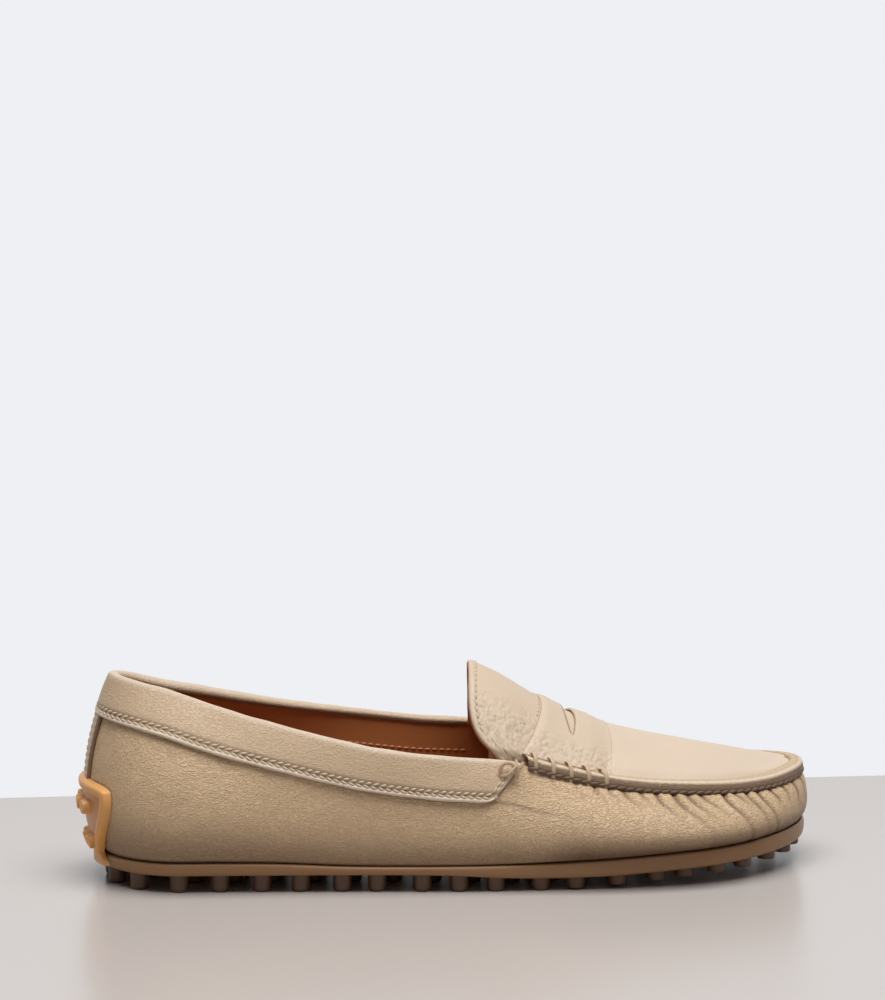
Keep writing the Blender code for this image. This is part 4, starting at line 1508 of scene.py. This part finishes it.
class MOCCASIN_OT_stitching(bpy.types.Operator):
    """Rows of stitches on the collar band, lining, tongue, strap and heel strip"""

    bl_idname = "moccasin.stitching"
    bl_label = "Stitching"

    def execute(self, context):
        trim = context.scene.moccasin_trim
        size = (trim.stitch_pitch, trim.stitch_length, trim.thread_radius)
        bm, tan = new_bmesh(), new_bmesh()
        low_row, high_row, lining_row = (BAND_HEIGHT - up for up in (0.0015, 0.0027, 0.0026))
        rows_out, ends_out, slant = trim.band_out * 0.88, trim.band_out * 1.06, 18
        ends_low, ends_high = BAND_HEIGHT - 0.0032, 0.0030
        band_half_length = 0.225
        tongue_inset, strap_inset, strip_share = 0.0024, 0.0008, 0.36

        def round_collar(target, drop, out, turn=0.0, count=600):
            sew(
                target,
                count,
                lambda s: collar_point(s, drop, out),
                lambda s: band_normal(s, drop),
                (-0.985, 0.985),
                size,
                turn,
            )

        round_collar(bm, high_row, rows_out, slant)
        round_collar(bm, low_row, rows_out, -slant)
        for side in (-1, 1):
            for inset in (0.0022, 0.0034):
                share = side * (1 - inset / band_half_length)
                sew(
                    bm,
                    30,
                    lambda d, share=share: collar_point(share, d, ends_out),
                    lambda d, share=share: band_normal(share, d),
                    (ends_high, ends_low),
                    size,
                )
        round_collar(tan, lining_row, -(UPPER_WALL + THREAD_LIFT), count=500)
        finish_piece("lining_stitches", tan, thread("tan_thread", *trim.lining_thread_color), "lining")

        def tongue_row(a):
            return tongue_x(1, a) + tongue_inset

        def on_roof(x_of, across, lift, inset=0.0):
            sew(
                bm,
                300,
                lambda a: roof_out(x_of(a) - inset, a, lift),
                lambda a: roof_normal(x_of(a), a),
                (-across, across),
                size,
            )

        on_roof(tongue_row, 0.90, THREAD_LIFT)
        on_roof(lambda a: strap_edges(a)[0], 0.55, 0.0, strap_inset)

        def strip_point(height, share):
            rise = rise_at_height(0, height)
            return wall_out(u_at_arc(HEEL_STRIP_WIDTH * share, rise), rise, GAP + HEEL_STRIP_THICKNESS)

        for share in (-strip_share, strip_share):
            sew(
                bm,
                40,
                lambda h, share=share: strip_point(h, share),
                lambda h: wall_normal(0, rise_at_height(0, h)),
                (TAB_HEIGHT, wall(0, 1).z - BAND_HEIGHT),
                size,
            )
        finish_piece("stitching", bm, thread("pale_thread", *trim.thread_color), "leather")
        return {"FINISHED"}


def plate(bm, grow, layers, steps):
    """A closed plate on the sole edge's outline. A layer is its extra width and its share of the slab."""
    last = len(layers) - 1

    def ring(i, j):
        extra, share = layers[round(j * last)]
        u = 2 * i
        plan = edge(SOLE_EDGE, side_of(u), along_of(u), round(grow + extra, 7))
        return Vector((plan.x, plan.y, slab_height(plan.x, share)))

    patch(bm, steps, last, ring)
    for j in (0, 1):
        patch(bm, steps // 2, 12, lambda i, k, j=j: ring(1 - i / 2, j).lerp(ring(i / 2, j), k))


def pebble(bm, base, axis, diameter, height):
    """A turned pebble whose rounded end is at base and whose root lies along axis."""
    turn = axis.to_track_quat("Z", "Y").to_matrix().to_4x4()
    place = Matrix.Translation(base) @ turn
    grid = bm.verts.layers.float_vector["grid"]
    verts = []
    for step in PEBBLE_TURN:
        vertex = bm.verts.new(place @ Vector((diameter / 2 * step.radius, 0, height * step.height)))
        vertex[grid] = (0, 0, 0)
        verts.append(vertex)
    edges = [bm.edges.new(pair) for pair in zip(verts, verts[1:])]
    turned = {"cent": base, "axis": axis, "angle": 2 * math.pi, "steps": 14, "use_merge": True}
    bmesh.ops.spin(bm, geom=verts + edges, **turned)


def pebble_pitch(x):
    """Distance from pebble to pebble along the edge at X: closer under the toes."""
    share = (x + LENGTH / 2 - PEBBLE_FORE_START) / PEBBLE_FORE_BLEND
    return PEBBLE_PITCH + (PEBBLE_PITCH_FORE - PEBBLE_PITCH) * max(0.0, min(1.0, share))


def pebble_ring(inset):
    """Plan positions of a ring of pebbles along the sole edge drawn in by an inset."""
    steps = 240
    ring = [edge(SOLE_EDGE, side_of(2 * k / steps), along_of(2 * k / steps), -inset) for k in range(steps)]
    lengths = [(ring[(k + 1) % steps] - ring[k]).length for k in range(steps)]
    spans = [length / pebble_pitch(point.x) for point, length in zip(ring, lengths)]
    pitch = sum(spans) / round(sum(spans))
    places, travelled, following = [], 0.0, pitch / 2
    for point, span in zip(ring, spans):
        if travelled >= following:
            places.append(point)
            following += pitch
        travelled += span
    return places


def sole_pebbles():
    """Plan positions of every pebble under the slab: a ring along the edge and rows across inside it."""
    places = pebble_ring(PEBBLE_INSET)
    inset = PEBBLE_INSET + PEBBLE_PITCH
    back, front = span_of(SOLE_EDGE, -inset)
    x = back
    while x < front:
        left, right = (edge_at_x(SOLE_EDGE, side, x, -inset) for side in (-1, 1))
        steps = max(1, round((right - left) / PEBBLE_PITCH))
        if right - left < PEBBLE_PITCH / 2:
            places.append(Vector((x, (left + right) / 2)))
        else:
            places += [Vector((x, left + (right - left) * k / steps)) for k in range(steps + 1)]
        x += PEBBLE_PITCH
    return places


def tab_half_width(height):
    """Half the heel tab's width at a height: a narrow waist near the slab, and full near the top."""
    share = (height - TAB_WAIST_HEIGHT) / (TAB_FULL_HEIGHT - TAB_WAIST_HEIGHT)
    swell = math.sin(math.pi * max(0.0, min(1.0, share)) / 2)
    return (TAB_WAIST + (TAB_WIDTH - TAB_WAIST) * swell) / 2


class MOCCASIN_OT_outsole(bpy.types.Operator):
    """Gum rubber slab, heel tab with its sunk panel, and pebbles, moulded as one"""

    bl_idname = "moccasin.outsole"
    bl_label = "Outsole"

    def execute(self, context):
        look = context.scene.moccasin_rubber
        bm = new_bmesh()
        steps = 12
        layers = [(-RIM_OVERHANG * read(RIM_TURN, "draw", k / steps), k / steps) for k in range(steps + 1)]
        plate(bm, RIM_OVERHANG, layers, 360)
        slab = set(bm.verts)
        self.studs(bm)
        # Tone 1 gives the pebbles the pebble colour, partly painted shade under the slab.
        tone = bm.verts.layers.float["tone"]
        for vertex in bm.verts:
            vertex[tone] = 0.0 if vertex in slab else 1.0
        material = gum_rubber("sole_rubber", tuple(look.slab_color), tuple(look.pebble_color))
        finish_piece("outsole_rubber", bm, material, "gum_rubber", "outsole", closed=True)
        self.tab()
        return {"FINISHED"}

    def studs(self, bm):
        for place in sole_pebbles():
            foot = PEBBLE_HEIGHT * max(0.0, sole_line("foot", place.x))
            height = slab_height(place.x, 0) - foot + PEBBLE_SINK * 0.3
            pebble(bm, Vector((place.x, place.y, foot)), Vector((0, 0, 1)), PEBBLE_DIAMETER, height)

    def tab(self):
        bm = new_bmesh()
        low = slab_height(-LENGTH / 2, 0.2)
        panel_low = low + 2.0 * TAB_FRAME
        edge_round, foot_rise, foot_blend = 0.0013, 0.05, 0.0030
        flare, flare_height = 0.0040, 0.0050
        frame_bulge, frame_spread, panel_sink = 0.0004, 0.0014, TAB_PANEL_DEPTH * 1.25

        def measures(i, j):
            """Height on the tab, distance from its middle, and distances within its edge and its panel."""
            share = 2 * i - 1
            fall = 1 - TAB_TOP_FALL_SHARE * share**TAB_TOP_POWER
            height = low + (TAB_HEIGHT - low) * j * fall
            half = tab_half_width(height) * (1 - TAB_TOP_DRAW_SHARE * j**TAB_TOP_POWER)
            half += flare * (1 - smooth(height, low, low + flare_height))
            near = min(half * (1 - abs(share)), low + (TAB_HEIGHT - low) * fall - height)
            return height, half * share, near, min(near, height - panel_low + TAB_FRAME)

        def place(i, j):
            height, arc, near, within = measures(i, j)
            rise = rise_at_height(0, height)
            out = GAP + TAB_THICKNESS * end_round(near, edge_round)
            out -= panel_sink * smooth(within, TAB_FRAME - 0.0003, TAB_FRAME + 0.0005)
            out += frame_bulge * bell(within - TAB_FRAME * 0.5, frame_spread)
            if rise > foot_rise:
                return wall_out(u_at_arc(arc, rise), rise, out)
            u = u_at_arc(arc, foot_rise)
            on_wall = wall_out(u, foot_rise, out)
            on_slab = edge(SOLE_EDGE, side_of(u), along_of(u), RIM_OVERHANG + round(out * 0.6, 7))
            share = smooth(wall(0, foot_rise).z - height, 0.0, foot_blend)
            plan = on_wall.xy.lerp(on_slab.xy, share)
            return Vector((plan.x, plan.y, height))

        patch(bm, 80, 72, place)

        def relief(i, j, place):
            within = measures(i, j)[3]
            sunk = smooth(within, TAB_FRAME - 0.0002, TAB_FRAME + 0.0004)
            return 0.0, -0.55 * sunk - 0.45 * bell(within - TAB_FRAME, 0.0005)

        emboss(bm, relief)
        floor = GAP + TAB_THICKNESS - panel_sink
        rows = ((TAB_PEBBLE_LOW, TAB_PEBBLE_LOW_SPREAD), (TAB_PEBBLE_HIGH, TAB_PEBBLE_HIGH_SPREAD))
        for height, spread in rows:
            rise = rise_at_height(0, height)
            for k in (-1, 0, 1):
                u = u_at_arc(k * spread, rise)
                out = wall_normal(u, rise)
                tip = wall(u, rise) + out * (floor + TAB_PEBBLE_RISE + TAB_PANEL_DEPTH * 0.25)
                stud = new_bmesh()
                pebble(stud, tip, -out, TAB_PEBBLE_DIAMETER * 0.92, TAB_PEBBLE_RISE + TAB_PANEL_DEPTH)
                bmesh.ops.remove_doubles(stud, verts=stud.verts, dist=MERGE)
                join(bm, stud)
        look = bpy.context.scene.moccasin_rubber
        material = gum_rubber("tab_rubber", tuple(look.color), tuple(look.panel_color))
        finish_piece("heel_tab_rubber", bm, material, "gum_rubber")


class MOCCASIN_OT_footbed(bpy.types.Operator):
    """Cupped footbed on the slab"""

    bl_idname = "moccasin.footbed"
    bl_label = "Footbed"

    def execute(self, context):
        bm = new_bmesh()
        grow = -(UPPER_WALL + INSOLE_CLEARANCE)
        cup_height, cup_start, cup_end = 0.0022, 0.35, 0.75

        def place(i, j):
            along = along_of(i)
            across = math.sin(math.pi * (j - 0.5))
            left, right = (edge(SOLE_EDGE, side, along, grow) for side in (-1, 1))
            plan = left.lerp(right, (across + 1) / 2)
            cup = cup_height * abs(across) ** 3 * (1 - smooth(along, cup_start, cup_end))
            return Vector((plan.x, plan.y, slab_height(plan.x, 1) + GAP + INSOLE_THICKNESS + cup))

        patch(bm, 110, 44, place)
        thickness = INSOLE_THICKNESS * 0.98
        finish_piece("footbed", bm, lining_leather(), "lining", "insole", thickness=thickness)
        return {"FINISHED"}


class MOCCASIN_OT_studio(bpy.types.Operator):
    """Pale table, soft overhead light, pale room and the camera"""

    bl_idname = "moccasin.studio"
    bl_label = "Studio"

    def execute(self, context):
        studio = context.scene.moccasin_studio
        context.scene.view_settings.view_transform = "Standard"
        self.table(studio)
        self.lights(context, studio)
        self.camera(context, studio)
        return {"FINISHED"}

    def table(self, studio):
        width, depth = 3.0, 2.2
        bm = bmesh.new()
        bmesh.ops.create_grid(bm, x_segments=1, y_segments=1, size=0.5)
        bmesh.ops.scale(bm, vec=(width, depth, 1), verts=bm.verts)
        bmesh.ops.translate(bm, vec=(0, studio.table_back - depth / 2, 0), verts=bm.verts)
        mesh = bpy.data.meshes.new("table")
        bm.to_mesh(mesh)
        bm.free()
        color, cloud_scale, roughness = tuple(studio.floor_color), 9.0, 0.26
        made, _, shader, _, _ = mottled_material("table", color, scaled(color, 1.03), cloud_scale, 4.0)
        shader.inputs["Roughness"].default_value = roughness
        mesh.materials.append(made)
        table = bpy.data.objects.new("table", mesh)
        bpy.context.scene.collection.objects.link(table)

    def lights(self, context, studio):
        lamp_ahead, lamp_depth_share = 0.05, 0.75
        lamp = bpy.data.lights.new("softbox", "AREA")
        lamp.shape = "RECTANGLE"
        lamp.size = studio.lamp_width
        lamp.size_y = studio.lamp_width * lamp_depth_share
        lamp.energy = studio.lamp_power
        box = bpy.data.objects.new("softbox", lamp)
        box.location = (lamp_ahead, -studio.lamp_forward, studio.lamp_height)
        context.scene.collection.objects.link(box)
        world = bpy.data.worlds.new("room")
        world.use_nodes = True
        context.scene.world = world
        tree = world.node_tree
        glow = tree.nodes["Background"]
        glow.inputs["Color"].default_value = (*studio.wall_color, 1.0)
        spread = add_node(tree, "ShaderNodeLightPath").outputs["Is Diffuse Ray"]
        strength = add_node(
            tree,
            "ShaderNodeMapRange",
            {"Value": spread, "To Min": 1.0, "To Max": studio.wall_glow},
        )
        tree.links.new(strength.outputs["Result"], glow.inputs["Strength"])

    def camera(self, context, studio):
        data = bpy.data.cameras.new("camera")
        data.lens = studio.lens
        data.sensor_width = 36
        camera = bpy.data.objects.new("camera", data)
        context.scene.collection.objects.link(camera)
        az, el = studio.azimuth, studio.elevation
        back = Vector((math.sin(az) * math.cos(el), -math.cos(az) * math.cos(el), math.sin(el)))
        camera.location = Vector((0, 0, AIM_HEIGHT)) + back * studio.distance
        aim = (-back).to_track_quat("-Z", "Y")
        tilt = Quaternion((1, 0, 0), math.radians(CAMERA_PITCH))
        turn = Quaternion((0, 1, 0), math.radians(CAMERA_TURN))
        camera.rotation_mode = "QUATERNION"
        camera.rotation_quaternion = aim @ turn @ tilt
        context.scene.camera = camera


class MOCCASIN_PT_sidebar(bpy.types.Panel):
    """Lists the moccasin's settings and pieces"""

    bl_idname = "MOCCASIN_PT_sidebar"
    bl_label = "Driving Moccasin"
    bl_space_type = "VIEW_3D"
    bl_region_type = "UI"
    bl_category = "Moccasin"

    def draw(self, context):
        for group in GROUPS:
            box = self.layout.box()
            box.label(text=group.__doc__)
            settings = getattr(context.scene, GROUPS[group])
            for name in group.__annotations__:
                box.prop(settings, name)
        for operator in OPERATORS:
            self.layout.operator(operator.bl_idname)


GROUPS = {
    MoccasinLeather: "moccasin_leather",
    MoccasinLining: "moccasin_lining",
    MoccasinTrim: "moccasin_trim",
    MoccasinRubber: "moccasin_rubber",
    MoccasinStudio: "moccasin_studio",
}

OPERATORS = (
    MOCCASIN_OT_outsole,
    MOCCASIN_OT_footbed,
    MOCCASIN_OT_upper,
    MOCCASIN_OT_lining,
    MOCCASIN_OT_apron,
    MOCCASIN_OT_tongue,
    MOCCASIN_OT_saddle_strap,
    MOCCASIN_OT_collar_band,
    MOCCASIN_OT_heel_strip,
    MOCCASIN_OT_moc_seam,
    MOCCASIN_OT_seam_stitches,
    MOCCASIN_OT_lace,
    MOCCASIN_OT_stitching,
    MOCCASIN_OT_studio,
)


def register():
    for group, name in GROUPS.items():
        bpy.utils.register_class(group)
        setattr(bpy.types.Scene, name, PointerProperty(type=group))
    for operator in OPERATORS:
        bpy.utils.register_class(operator)
    bpy.utils.register_class(MOCCASIN_PT_sidebar)


def unregister():
    bpy.utils.unregister_class(MOCCASIN_PT_sidebar)
    for operator in reversed(OPERATORS):
        bpy.utils.unregister_class(operator)
    for group, name in reversed(GROUPS.items()):
        delattr(bpy.types.Scene, name)
        bpy.utils.unregister_class(group)


def main():
    """Builds the shoe and the studio."""
    register()
    for operator in OPERATORS:
        group, name = operator.bl_idname.split(".")
        getattr(getattr(bpy.ops, group), name)()


if __name__ == "__main__":
    main()
